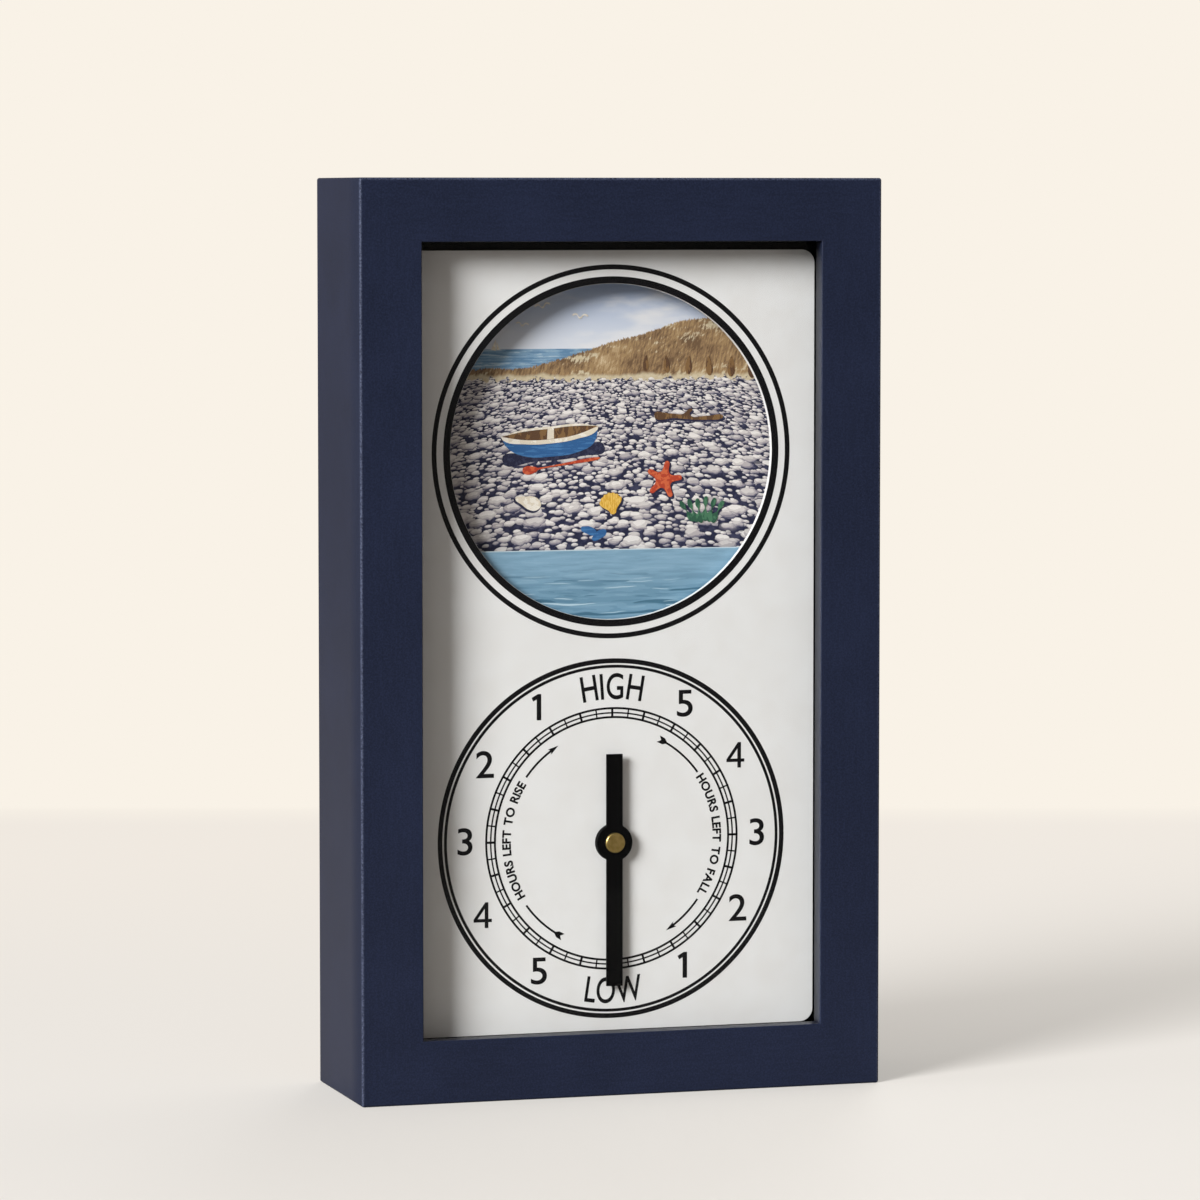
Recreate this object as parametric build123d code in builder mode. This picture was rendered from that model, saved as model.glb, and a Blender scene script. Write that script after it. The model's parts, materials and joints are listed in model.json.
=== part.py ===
"""Tide clock: a glazed wooden case with a dial, one tide hand and a water sheet that rises in a window.

Millimetres. +Z is up, the front faces -Y, and the origin is under the middle of the case.
Depths are measured from the front of the case towards its back.
"""

import math
import os

from build123d import *

os.makedirs("parts", exist_ok=True)

# Case frame
face_width = 21.0
lip_depth = 6.4
rabbet_width = 6.8
back_rabbet_width = 6.0
back_recess = 2.0
edge_radius = 0.8
nail_leg = 6.0
nail_thickness = 0.6
nail_length = 10.0

# Glass, spacers and dial panel
glass_thickness = 2.0
glass_clearance = 0.5
spacer_thickness = 3.0
panel_thickness = 2.0
panel_side_gap = 1.8
panel_bottom_gap = 2.8
panel_top_gap = 6.7
panel_corner_radius = 4.5
window_radius = 55.9
window_side_border = 15.1
window_top_border = 11.1
dial_bottom_border = 63.4

# Hand and its arbor
arbor_radius = 2.5
hand_glass_gap = 1.2
cap_radius = 3.4
cap_height = 1.0
cap_bore_depth = 0.5
cap_chamfer = 0.35
hand_thickness = 1.0
hand_width = 5.6
hand_pointer = 48.2
hand_tail = 29.7
hand_hub_radius = 6.2
collar_height = 1.5
collar_step = 0.3
collar_step_radius = 4.6
collar_panel_gap = 0.5
panel_hole_clearance = 1.5

# Water lift: a planet gear in a ring of twice its teeth carries the lift pin straight up and down
lift_module = 1.0
wheel_teeth = 36
planet_teeth = 25
ring_rim = 3.4
ring_leg_radius = 2.6
ring_setback = 0.4
planet_stub_radius = 2.0
lift_pin_radius = 1.5
arm_half_width = 3.5
water_gap = 1.4
water_thickness = 1.0
water_overlap = 4.0
low_water_drop = 32.7
water_tail_width = 14.0
arm_gap = 0.6
arm_thickness = 1.4
planet_thickness = 2.0
wheel_gap = 0.4
wheel_thickness = 2.0
crank_axle_radius = 2.0
crank_shoulder_radius = 3.5
crank_rivet_height = 1.0

# Picture card, guides and pillars
scene_gap = 3.4
card_thickness = 1.0
card_overlap = 5.5
ring_card_gap = 3.6
guide_sight = 3.6
guide_width = 4.0
guide_front_gap = 0.6
guide_foot = 4.0
groove_depth = 1.8
slide_clearance = 0.3
pillar_radius = 3.0
pillar_gap = 1.0
pillar_inset = 9.0

# Mechanism plate, cleats and back board
plate_thickness = 3.0
plate_clearance = 0.5
cleat_width = 5.0
board_thickness = 3.0
board_clearance = 0.5
board_corner_radius = 2.0
access_margin = 4.0
access_corner_radius = 4.0

# Hanger plate with its keyhole
hanger_width = 44.0
hanger_height = 20.0
hanger_thickness = 1.2
hanger_corner_radius = 4.0
hanger_drop = 32.0
keyhole_radius = 4.5
keyhole_slot_width = 4.6
keyhole_rise = 8.0
keyhole_pocket_margin = 1.2
hanger_screw_inset = 5.0

# Screws
machine_shank = 1.5
machine_head = 2.7
machine_head_height = 1.8
machine_reach = 4.0
wood_shank = 1.4
wood_head = 2.8
wood_reach = 9.0
hanger_shank = 1.0
hanger_head = 2.0
hanger_reach = 2.4
screw_clearance = 0.1
side_screw_spread = 100.0
end_screw_spread = 45.0

# Movement case
battery_length = 50.5
battery_radius = 7.25
battery_nub_radius = 2.75
battery_nub_length = 1.0
battery_clearance = 0.35
contact_space = 1.55
contact_thickness = 0.4
contact_width = 10.0
contact_dimple_radius = 2.5
movement_wall = 1.2
movement_floor = 1.5
movement_corner_radius = 2.0
cover_thickness = 1.5
cover_lip = 1.0
cover_lip_clearance = 0.1
gasket_thickness = 0.5
gasket_margin = 6.0
bush_radius = 4.0
bush_flange_radius = 6.5
bush_flange_height = 0.7
bush_clearance = 0.2
nut_across_flats = 11.0
nut_height = 2.0
nut_gap = 0.4
washer_radius = 8.0
washer_thickness = 0.5
knob_radius = 5.0
knob_height = 4.2
knob_gap = 0.4
knob_board_gap = 1.1
knob_web = 1.0
knob_flutes = 14
knob_flute_radius = 0.6

# Wheels of the movement
running_fit = 0.05
train_module = 0.25
motion_module = 0.3
tide_teeth = 40
minute_pinion_teeth = 10
minute_teeth = 36
cannon_teeth = 12
centre_teeth = 64
third_teeth = 60
seconds_teeth = 48
intermediate_teeth = 40
pinion_teeth = 8
minute_angle = 200.0
third_angle = 70.0
seconds_angle = 20.0
intermediate_angle = -70.0
rotor_angle = -50.0
stage_wheel = 0.7
stage_gap = 0.6
stage_start = 0.4
pinion_overhang = 0.1
train_arbor_radius = 0.4
centre_arbor_radius = 0.9
minute_post_radius = 0.6
pivot_depth = 0.8
pivot_bore_depth = 2.2
bridge_thickness = 1.0
bridge_margin = 2.5
bridge_wall_gap = 0.8
bridge_post_radius = 1.5
bridge_third_angle = 155.0
bridge_rotor_angle = -60.0
bridge_seconds_angle = 14.0
train_gap = 2.0

# Motor and circuit
rotor_radius = 2.8
rotor_length = 3.0
rotor_air_gap = 0.5
stator_thickness = 0.8
stator_ring = 1.9
stator_bar_width = 3.0
stator_overhang = 2.0
coil_radius = 3.0
coil_length = 14.0
coil_gap = 1.4
coil_wall_gap = 1.8
board_width = 14.0
board_height = 22.0
circuit_thickness = 1.0
circuit_gap = 0.6
circuit_rib = 2.0
crystal_radius = 1.0
crystal_length = 6.0
chip_radius = 2.6
chip_height = 1.0

# Gear teeth, in modules and in shares of the tooth pitch
addendum = 0.8
dedendum = 1.1
tip_share = 0.18
root_share = 0.5

# Depth stack, front to back
glass_back = lip_depth + glass_thickness
cap_front = glass_back + hand_glass_gap
hand_front = cap_front + cap_height
collar_front = hand_front + hand_thickness
collar_back = collar_front + collar_height
panel_front = collar_back + collar_panel_gap
panel_back = panel_front + panel_thickness
water_front = panel_back + water_gap
water_back = water_front + water_thickness
arm_front = water_back + arm_gap
planet_front = arm_front + arm_thickness
planet_back = planet_front + planet_thickness
wheel_front = planet_back + wheel_gap
wheel_back = wheel_front + wheel_thickness
nut_front = wheel_back + nut_gap
washer_front = nut_front + nut_height
plate_front = washer_front + washer_thickness
plate_back = plate_front + plate_thickness
movement_front = plate_back + gasket_thickness
flange_back = movement_front + bush_flange_height
floor_back = movement_front + movement_floor
movement_back = floor_back + 2 * battery_radius
cover_front = movement_back - cover_thickness
knob_front = movement_back + knob_gap
knob_back = knob_front + knob_height
board_front = knob_back + knob_board_gap
board_back = board_front + board_thickness
case_depth = board_back + back_recess
scene_front = water_back + scene_gap
scene_back = scene_front + card_thickness
guide_front = panel_back + guide_front_gap

# Widths, from the window outwards
panel_width = 2 * (window_radius + window_side_border)
spacer_inner = panel_width / 2 + panel_side_gap
rabbet_half = spacer_inner + spacer_thickness
opening_half = rabbet_half - rabbet_width
case_width = 2 * (opening_half + face_width)
board_half = rabbet_half + back_rabbet_width - board_clearance

# Heights, from the base upwards
lift_spacing = lift_module * wheel_teeth
crank_radius = lift_module * planet_teeth / 2
ring_teeth = 2 * planet_teeth
stroke = 4 * crank_radius
ring_outer = lift_module * (ring_teeth / 2 + dedendum) + ring_rim
rabbet_bottom = face_width - rabbet_width
panel_bottom = rabbet_bottom + spacer_thickness + panel_bottom_gap
dial_z = panel_bottom + dial_bottom_border
lift_z = dial_z + lift_spacing
pin_z = lift_z - 2 * crank_radius
card_bottom = lift_z + ring_outer + ring_card_gap
window_z = card_bottom + card_overlap + window_radius
card_top = window_z + window_radius + card_overlap / 2
panel_top = window_z + window_radius + window_top_border
rabbet_top = panel_top + panel_top_gap + spacer_thickness
case_height = rabbet_top - rabbet_width + face_width
water_top = window_z - low_water_drop
water_bottom = window_z - window_radius - water_overlap - stroke
middle_z = case_height / 2
panel_height = panel_top - panel_bottom

# Places that several pieces share
guide_inner = window_radius + guide_sight
guide_outer = guide_inner + guide_width
guide_bottom = water_bottom - guide_foot
guide_top = card_top
water_half = guide_inner + groove_depth - slide_clearance
pillar_x = guide_outer + pillar_gap + pillar_radius
pillar_rows = (panel_bottom + pillar_inset, panel_top - pillar_inset)
pillar_spots = [(side * pillar_x, row) for side in (-1, 1) for row in pillar_rows]
guide_screw_x = (guide_inner + guide_outer) / 2
guide_screw_rows = (guide_bottom + pillar_inset, guide_top - pillar_inset)
guide_screw_spots = [(side * guide_screw_x, row) for side in (-1, 1) for row in guide_screw_rows]
leg_offset = ring_outer - ring_rim / 2
ring_leg_spots = [(leg_offset, lift_z), (0, lift_z + leg_offset), (-leg_offset, lift_z)]
side_screw_x = rabbet_half + back_rabbet_width / 2
end_screw_z = middle_z - rabbet_bottom + back_rabbet_width / 2
side_screw_rows = [middle_z + row * side_screw_spread for row in (-1, 0, 1)]
wood_screw_spots = [(side * side_screw_x, row) for side in (-1, 1) for row in side_screw_rows]
end_screw_rows = [middle_z + end * end_screw_z for end in (-1, 1)]
wood_screw_spots += [(side * end_screw_spread, row) for side in (-1, 1) for row in end_screw_rows]
hanger_z = case_height - hanger_drop
hanger_back = board_back + hanger_thickness
hanger_screw_x = hanger_width / 2 - hanger_screw_inset
hanger_screw_spots = [(side * hanger_screw_x, hanger_z) for side in (-1, 1)]
keyhole_z = hanger_z - keyhole_rise / 2


def polar(centre, radius, angle):
    """The point at a radius and an angle, in degrees from +X towards +Z, about a centre."""
    turn = math.radians(angle)
    return (centre[0] + radius * math.cos(turn), centre[1] + radius * math.sin(turn))


def mesh_distance(module, first, second):
    return module * (first + second) / 2


# Arbor places in the movement, as (x, z)
dial_centre = (0, dial_z)
lift_centre = (0, lift_z)
planet_centre = (0, lift_z - crank_radius)
pin_centre = (0, pin_z)
minute_module = motion_module * (tide_teeth + minute_pinion_teeth) / (minute_teeth + cannon_teeth)
minute_distance = mesh_distance(motion_module, tide_teeth, minute_pinion_teeth)
third_distance = mesh_distance(train_module, centre_teeth, pinion_teeth)
seconds_distance = mesh_distance(train_module, third_teeth, pinion_teeth)
intermediate_distance = mesh_distance(train_module, seconds_teeth, pinion_teeth)
rotor_distance = mesh_distance(train_module, intermediate_teeth, pinion_teeth)
minute_spot = polar(dial_centre, minute_distance, minute_angle)
third_spot = polar(dial_centre, third_distance, third_angle)
seconds_spot = polar(third_spot, seconds_distance, seconds_angle)
intermediate_spot = polar(seconds_spot, intermediate_distance, intermediate_angle)
rotor_spot = polar(intermediate_spot, rotor_distance, rotor_angle)
train_spots = [third_spot, seconds_spot, intermediate_spot, rotor_spot]


def tip_radius(module, teeth):
    return module * (teeth / 2 + addendum)


def stage(number):
    """Front depth of a layer of wheels inside the movement."""
    return floor_back + stage_start + number * (stage_wheel + stage_gap)


bridge_front = stage(6)
bridge_back = bridge_front + bridge_thickness
train_end = bridge_back - pinion_overhang
stator_reach = rotor_radius + rotor_air_gap + stator_ring
seconds_tip = tip_radius(train_module, seconds_teeth)
post_gap = train_gap + bridge_post_radius
bridge_posts = [
    polar(third_spot, tip_radius(train_module, third_teeth) + post_gap, bridge_third_angle),
    polar(rotor_spot, stator_reach + post_gap, bridge_rotor_angle),
    polar(seconds_spot, seconds_tip + train_gap + post_gap, bridge_seconds_angle),
]

# Movement case outline, from the battery and the train inside it
bridge_reach = max(abs(spot[0]) for spot in bridge_posts) + bridge_margin
movement_inner = max(battery_length / 2 + contact_space, bridge_reach + bridge_wall_gap)
movement_half = movement_inner + movement_wall
partition_top = minute_spot[1] - tip_radius(minute_module, minute_teeth) - train_gap
bay_top = partition_top - movement_wall
battery_z = bay_top - battery_clearance - battery_radius
bay_bottom = battery_z - battery_radius - battery_clearance
movement_bottom = bay_bottom - movement_wall
coil_z = seconds_spot[1] + seconds_tip + coil_gap + coil_radius
train_top = coil_z + coil_radius + coil_wall_gap
movement_top = train_top + movement_wall
movement_middle = (movement_bottom + movement_top) / 2
movement_height = movement_top - movement_bottom
battery_depth = floor_back + battery_radius
stator_front = stage(2)
stator_back = stator_front + stator_thickness
stator_middle = (stator_front + stator_back) / 2
coil_x = rotor_spot[0] - stator_bar_width / 2 - stator_overhang - coil_length / 2
bar_end_x = coil_x - coil_length / 2 - stator_overhang - stator_bar_width
stator_post_spots = [
    (rotor_spot[0], (coil_z + rotor_spot[1]) / 2),
    (bar_end_x + stator_bar_width / 2, coil_z),
]
circuit_front = stage(3)
circuit_back = circuit_front + circuit_thickness
circuit_x = -movement_inner + circuit_gap + board_width / 2
circuit_z = train_top - circuit_gap - board_height / 2
circuit_rib_rows = [circuit_z + end * (board_height - circuit_rib) / 2 for end in (-1, 1)]


def layer(depth):
    """A plane facing the front at a depth behind the front of the case, with local x, y along X, Z."""
    return Plane.XZ.offset(case_depth / 2 - depth)


def disc(front, back, radius, centre, mode=Mode.ADD):
    with BuildSketch(layer(front)) as outline:
        with Locations(centre):
            Circle(radius)
    extrude(outline.sketch, amount=front - back, mode=mode)


def slab(front, back, size, centre, corner=0, mode=Mode.ADD):
    with BuildSketch(layer(front)) as outline:
        with Locations(centre):
            if corner:
                RectangleRounded(size[0], size[1], corner)
            else:
                Rectangle(size[0], size[1])
    extrude(outline.sketch, amount=front - back, mode=mode)


def tapered(back, radius, tip, centre, mode=Mode.ADD):
    """A cone of 45 degrees that narrows from a radius at its back to a tip radius in front of it."""
    with BuildSketch(layer(back)) as outline:
        with Locations(centre):
            Circle(radius)
    extrude(outline.sketch, amount=radius - tip, taper=45, mode=mode)


def tooth_outline(teeth, module, first_tooth, inward=False):
    """Straight-flanked teeth round a circle, the first one centred on an angle in degrees."""
    side = -1 if inward else 1
    tip = module * (teeth / 2 + side * addendum)
    root = module * (teeth / 2 - side * dedendum)
    pitch = 360 / teeth
    corners = [(root, -root_share), (tip, -tip_share), (tip, tip_share), (root, root_share)]
    return [
        polar((0, 0), radius, first_tooth + (tooth + share / 2) * pitch)
        for tooth in range(teeth)
        for radius, share in corners
    ]


def gear(front, back, teeth, module, centre, first_tooth):
    with BuildSketch(layer(front)) as outline:
        with Locations(centre):
            Polygon(*tooth_outline(teeth, module, first_tooth), align=None)
    extrude(outline.sketch, amount=front - back)


def facing_gap(teeth, angle):
    """First-tooth angle of a gear whose tooth space, not a tooth, points along an angle."""
    return angle + 180 / teeth


def save(piece, name):
    piece.part.label = name
    export_step(piece.part, f"parts/{name}.step")


# Case frame: one hollow section, cut at the four mitres

def mitre_plane(side, end):
    """Mitre at one corner; its positive side holds the top or bottom rail."""
    corner_z = case_height if end > 0 else 0
    return Plane(origin=(side * case_width / 2, 0, corner_z), z_dir=(-side, 0, end))


def nail_legs(mode):
    """A V-shaped nail across each mitre, driven in from the back."""
    inset = (face_width - rabbet_width - back_rabbet_width) / 2
    for side in (-1, 1):
        for end in (-1, 1):
            apex_x = side * (case_width / 2 - inset)
            apex_z = middle_z + end * (middle_z - inset)
            shift = (nail_leg - nail_thickness) / 2
            with BuildSketch(layer(case_depth - nail_length)) as outline:
                with Locations((apex_x - side * shift, apex_z)):
                    Rectangle(nail_leg, nail_thickness)
                with Locations((apex_x, apex_z - end * shift)):
                    Rectangle(nail_thickness, nail_leg)
            extrude(outline.sketch, amount=-nail_length, mode=mode)


def frame_rail(name, corners, keep, outward):
    """One rail of the frame: the part between two mitres, on its own side of the middle."""
    with BuildPart() as rail:
        slab(0, case_depth, (case_width, case_height), (0, middle_z))
        fillet(rail.edges(), edge_radius)
        opening = (2 * opening_half, case_height - 2 * face_width)
        slab(0, lip_depth, opening, (0, middle_z), mode=Mode.SUBTRACT)
        rabbet = (2 * rabbet_half, rabbet_top - rabbet_bottom)
        slab(lip_depth, case_depth, rabbet, (0, middle_z), mode=Mode.SUBTRACT)
        back_rabbet = (rabbet[0] + 2 * back_rabbet_width, rabbet[1] + 2 * back_rabbet_width)
        slab(board_front, case_depth, back_rabbet, (0, middle_z), mode=Mode.SUBTRACT)
        for spot in wood_screw_spots:
            disc(board_front - wood_reach, board_front, wood_shank, spot, Mode.SUBTRACT)
        nail_legs(Mode.SUBTRACT)
        for side, end in corners:
            split(bisect_by=mitre_plane(side, end), keep=keep)
        split(bisect_by=Plane(origin=(0, 0, middle_z), z_dir=outward), keep=Keep.TOP)
    save(rail, name)


frame_rail("top_rail", [(-1, 1), (1, 1)], Keep.TOP, (0, 0, 1))
frame_rail("bottom_rail", [(-1, -1), (1, -1)], Keep.TOP, (0, 0, -1))
frame_rail("left_rail", [(-1, -1), (-1, 1)], Keep.BOTTOM, (-1, 0, 0))
frame_rail("right_rail", [(1, -1), (1, 1)], Keep.BOTTOM, (1, 0, 0))

with BuildPart() as mitre_nails:
    nail_legs(Mode.ADD)
save(mitre_nails, "mitre_nails")

# Glass and the strips that hold it against the lip

rabbet_height = rabbet_top - rabbet_bottom
with BuildPart() as glass_pane:
    pane = (2 * (rabbet_half - glass_clearance), rabbet_height - 2 * glass_clearance)
    slab(lip_depth, glass_back, pane, (0, middle_z))
save(glass_pane, "glass_pane")

with BuildPart() as side_spacers:
    for side in (-1, 1):
        strip_x = side * (rabbet_half - spacer_thickness / 2)
        slab(glass_back, plate_front, (spacer_thickness, rabbet_height), (strip_x, middle_z))
save(side_spacers, "side_spacers")

with BuildPart() as end_spacers:
    for strip_z in (rabbet_bottom + spacer_thickness / 2, rabbet_top - spacer_thickness / 2):
        slab(glass_back, plate_front, (2 * spacer_inner, spacer_thickness), (0, strip_z))
save(end_spacers, "end_spacers")

# Dial panel with its window, on four pillars

with BuildPart() as dial_panel:
    panel_spot = (0, (panel_bottom + panel_top) / 2)
    slab(panel_front, panel_back, (panel_width, panel_height), panel_spot, panel_corner_radius)
    disc(panel_front, panel_back, window_radius, (0, window_z), Mode.SUBTRACT)
    disc(panel_front, panel_back, arbor_radius + panel_hole_clearance, dial_centre, Mode.SUBTRACT)
save(dial_panel, "dial_panel")

with BuildPart() as panel_pillars:
    for spot in pillar_spots:
        disc(panel_back, plate_front, pillar_radius, spot)
        disc(plate_front - machine_reach, plate_front, machine_shank, spot, Mode.SUBTRACT)
save(panel_pillars, "panel_pillars")


def machine_screws(name, spots):
    """Pan-headed screws through the mechanism plate from its back."""
    with BuildPart() as screws:
        for spot in spots:
            disc(plate_front - machine_reach, plate_back, machine_shank, spot)
            disc(plate_back, plate_back + machine_head_height, machine_head, spot)
    save(screws, name)


machine_screws("pillar_screws", pillar_spots)
machine_screws("guide_screws", guide_screw_spots)
machine_screws("ring_screws", ring_leg_spots)

# Guides: grooved strips in which the water sheet slides and the picture card stands


def guide(name, side):
    with BuildPart() as strip:
        centre_x = side * (guide_inner + guide_width / 2)
        middle = (guide_bottom + guide_top) / 2
        slab(guide_front, plate_front, (guide_width, guide_top - guide_bottom), (centre_x, middle))
        groove_x = side * (guide_inner + groove_depth / 2)
        groove = (groove_depth, guide_top - guide_bottom)
        slab(water_front - slide_clearance, water_back + slide_clearance, groove, (groove_x, middle),
             mode=Mode.SUBTRACT)
        slot = (groove_depth, guide_top - card_bottom)
        slab(scene_front, scene_back, slot, (groove_x, (guide_top + card_bottom) / 2), mode=Mode.SUBTRACT)
        for spot in guide_screw_spots:
            if spot[0] * side > 0:
                disc(plate_front - machine_reach, plate_front, machine_shank, spot, Mode.SUBTRACT)
    save(strip, name)


guide("left_guide", -1)
guide("right_guide", 1)

with BuildPart() as scene_card:
    card = (2 * water_half, card_top - card_bottom)
    slab(scene_front, scene_back, card, (0, (card_top + card_bottom) / 2))
save(scene_card, "scene_card")

with BuildPart() as water_sheet:
    sheet = (2 * water_half, water_top - water_bottom)
    slab(water_front, water_back, sheet, (0, (water_top + water_bottom) / 2))
    tail = (water_tail_width, water_bottom - pin_z)
    slab(water_front, water_back, tail, (0, (water_bottom + pin_z) / 2))
    disc(water_front, water_back, arm_half_width, pin_centre)
    disc(water_front, water_back, lift_pin_radius + running_fit, pin_centre, Mode.SUBTRACT)
save(water_sheet, "water_sheet")

# Water lift

with BuildPart() as lift_drive_wheel:
    gear(wheel_front, wheel_back, wheel_teeth, lift_module, dial_centre, 90)
    disc(wheel_front, wheel_back, arbor_radius, dial_centre, Mode.SUBTRACT)
save(lift_drive_wheel, "lift_drive_wheel")

with BuildPart() as crank_wheel:
    gear(wheel_front, wheel_back, wheel_teeth, lift_module, lift_centre, facing_gap(wheel_teeth, -90))
    disc(wheel_front, wheel_back, crank_axle_radius + running_fit, lift_centre, Mode.SUBTRACT)
    disc(arm_front, wheel_front, planet_stub_radius, planet_centre)
save(crank_wheel, "crank_wheel")

with BuildPart() as planet_gear:
    gear(planet_front, planet_back, planet_teeth, lift_module, planet_centre, -90)
    with BuildSketch(layer(arm_front)) as arm:
        with Locations((0, (planet_centre[1] + pin_z) / 2)):
            SlotCenterToCenter(crank_radius, 2 * arm_half_width, rotation=90)
    extrude(arm.sketch, amount=-arm_thickness)
    disc(arm_front, planet_back, planet_stub_radius + running_fit, planet_centre, Mode.SUBTRACT)
    disc(water_front - slide_clearance, arm_front, lift_pin_radius, pin_centre)
save(planet_gear, "planet_gear")

with BuildPart() as ring_gear:
    ring_front = planet_front + ring_setback
    disc(ring_front, planet_back, ring_outer, lift_centre)
    for spot in ring_leg_spots:
        disc(ring_front, plate_front, ring_leg_radius, spot)
        disc(plate_front - machine_reach, plate_front, machine_shank, spot, Mode.SUBTRACT)
    with BuildSketch(layer(ring_front)) as teeth_cut:
        with Locations(lift_centre):
            Polygon(*tooth_outline(ring_teeth, lift_module, facing_gap(ring_teeth, -90), True), align=None)
    extrude(teeth_cut.sketch, amount=ring_front - planet_back - slide_clearance, mode=Mode.SUBTRACT)
save(ring_gear, "ring_gear")

with BuildPart() as crank_axle:
    disc(wheel_front, plate_back, crank_axle_radius, lift_centre)
    disc(wheel_back + wheel_gap, plate_front, crank_shoulder_radius, lift_centre)
    disc(plate_back, plate_back + crank_rivet_height, crank_shoulder_radius, lift_centre)
save(crank_axle, "crank_axle")

# Plate that carries the movement, the lift and the panel, clamped in the case by cleats

with BuildPart() as mechanism_plate:
    plate_size = (2 * (rabbet_half - plate_clearance), rabbet_height - 2 * plate_clearance)
    slab(plate_front, plate_back, plate_size, (0, middle_z))
    disc(plate_front, plate_back, bush_radius + bush_clearance, dial_centre, Mode.SUBTRACT)
    disc(plate_front, plate_back, crank_axle_radius, lift_centre, Mode.SUBTRACT)
    for spot in pillar_spots + guide_screw_spots + ring_leg_spots:
        disc(plate_front, plate_back, machine_shank + screw_clearance, spot, Mode.SUBTRACT)
save(mechanism_plate, "mechanism_plate")

with BuildPart() as side_cleats:
    for side in (-1, 1):
        cleat_x = side * (rabbet_half - cleat_width / 2)
        slab(plate_back, board_front, (cleat_width, rabbet_height), (cleat_x, middle_z))
save(side_cleats, "side_cleats")

with BuildPart() as end_cleats:
    for cleat_z in (rabbet_bottom + cleat_width / 2, rabbet_top - cleat_width / 2):
        slab(plate_back, board_front, (2 * (rabbet_half - cleat_width), cleat_width), (0, cleat_z))
save(end_cleats, "end_cleats")

# Back board with its access window, screws and hanger

with BuildPart() as back_board:
    board_height_full = rabbet_height + 2 * (back_rabbet_width - board_clearance)
    slab(board_front, board_back, (2 * board_half, board_height_full), (0, middle_z), board_corner_radius)
    access = (2 * (movement_half + access_margin), movement_height + 2 * access_margin)
    slab(board_front, board_back, access, (0, movement_middle), access_corner_radius, Mode.SUBTRACT)
    for spot in wood_screw_spots:
        disc(board_front, board_back, wood_shank + screw_clearance, spot, Mode.SUBTRACT)
        tapered(board_back, wood_head, wood_shank, spot, Mode.SUBTRACT)
    pocket_width = 2 * (keyhole_radius + keyhole_pocket_margin)
    pocket = (pocket_width, pocket_width + keyhole_rise)
    slab(board_front, board_back, pocket, (0, hanger_z), keyhole_radius, Mode.SUBTRACT)
    for spot in hanger_screw_spots:
        disc(board_back - hanger_reach, board_back, hanger_shank, spot, Mode.SUBTRACT)
save(back_board, "back_board")

with BuildPart() as back_screws:
    for spot in wood_screw_spots:
        tapered(board_back, wood_head, wood_shank, spot)
        disc(board_front - wood_reach, board_back, wood_shank, spot)
save(back_screws, "back_screws")

with BuildPart() as hanger_plate:
    slab(board_back, hanger_back, (hanger_width, hanger_height), (0, hanger_z), hanger_corner_radius)
    disc(board_back, hanger_back, keyhole_radius, (0, keyhole_z), Mode.SUBTRACT)
    slab(board_back, hanger_back, (keyhole_slot_width, keyhole_rise), (0, keyhole_z + keyhole_rise / 2),
         mode=Mode.SUBTRACT)
    disc(board_back, hanger_back, keyhole_slot_width / 2, (0, keyhole_z + keyhole_rise), Mode.SUBTRACT)
    for spot in hanger_screw_spots:
        disc(board_back, hanger_back, hanger_shank, spot, Mode.SUBTRACT)
        tapered(hanger_back, hanger_head, hanger_shank, spot, Mode.SUBTRACT)
save(hanger_plate, "hanger_plate")

with BuildPart() as hanger_screws:
    for spot in hanger_screw_spots:
        tapered(hanger_back, hanger_head, hanger_shank, spot)
        disc(board_back - hanger_reach, hanger_back, hanger_shank, spot)
save(hanger_screws, "hanger_screws")

# Movement case, bush and fixing

with BuildPart() as movement_base:
    shell = (2 * movement_half, movement_height)
    slab(movement_front, movement_back, shell, (0, movement_middle), movement_corner_radius)
    train_room = (2 * movement_inner, train_top - partition_top)
    slab(floor_back, movement_back, train_room, (0, (train_top + partition_top) / 2), mode=Mode.SUBTRACT)
    bay = (2 * movement_inner, bay_top - bay_bottom)
    slab(floor_back, movement_back, bay, (0, battery_z), mode=Mode.SUBTRACT)
    seat = (2 * movement_half, movement_top - bay_top)
    slab(cover_front, movement_back, seat, (0, (movement_top + bay_top) / 2), mode=Mode.SUBTRACT)
    for spot in bridge_posts:
        disc(floor_back, bridge_front, bridge_post_radius, spot)
    for spot in stator_post_spots:
        disc(floor_back, stator_front, stator_bar_width / 2, spot)
    for row in circuit_rib_rows:
        slab(floor_back, circuit_front, (board_width, circuit_rib), (circuit_x, row))
    disc(floor_back, stage(1) + stage_wheel + stage_gap / 2, minute_post_radius, minute_spot)
    for spot in train_spots:
        disc(floor_back - pivot_depth, floor_back, train_arbor_radius + running_fit, spot, Mode.SUBTRACT)
    disc(movement_front, flange_back, bush_flange_radius, dial_centre, Mode.SUBTRACT)
    disc(movement_front, floor_back, arbor_radius + running_fit, dial_centre, Mode.SUBTRACT)
save(movement_base, "movement_base")

with BuildPart() as movement_cover:
    slab(cover_front, movement_back, shell, (0, movement_middle), movement_corner_radius)
    below = (2 * movement_half, bay_top - movement_bottom)
    slab(cover_front, movement_back, below, (0, (bay_top + movement_bottom) / 2), mode=Mode.SUBTRACT)
    rim_outer = (train_room[0] - 2 * cover_lip_clearance, train_room[1] - 2 * cover_lip_clearance)
    rim_inner = (rim_outer[0] - 2 * cover_lip, rim_outer[1] - 2 * cover_lip)
    rim_spot = (0, (train_top + partition_top) / 2)
    slab(cover_front - cover_lip, cover_front, rim_outer, rim_spot)
    slab(cover_front - cover_lip, cover_front, rim_inner, rim_spot, mode=Mode.SUBTRACT)
    disc(cover_front, movement_back, centre_arbor_radius + running_fit, dial_centre, Mode.SUBTRACT)
save(movement_cover, "movement_cover")

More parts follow.
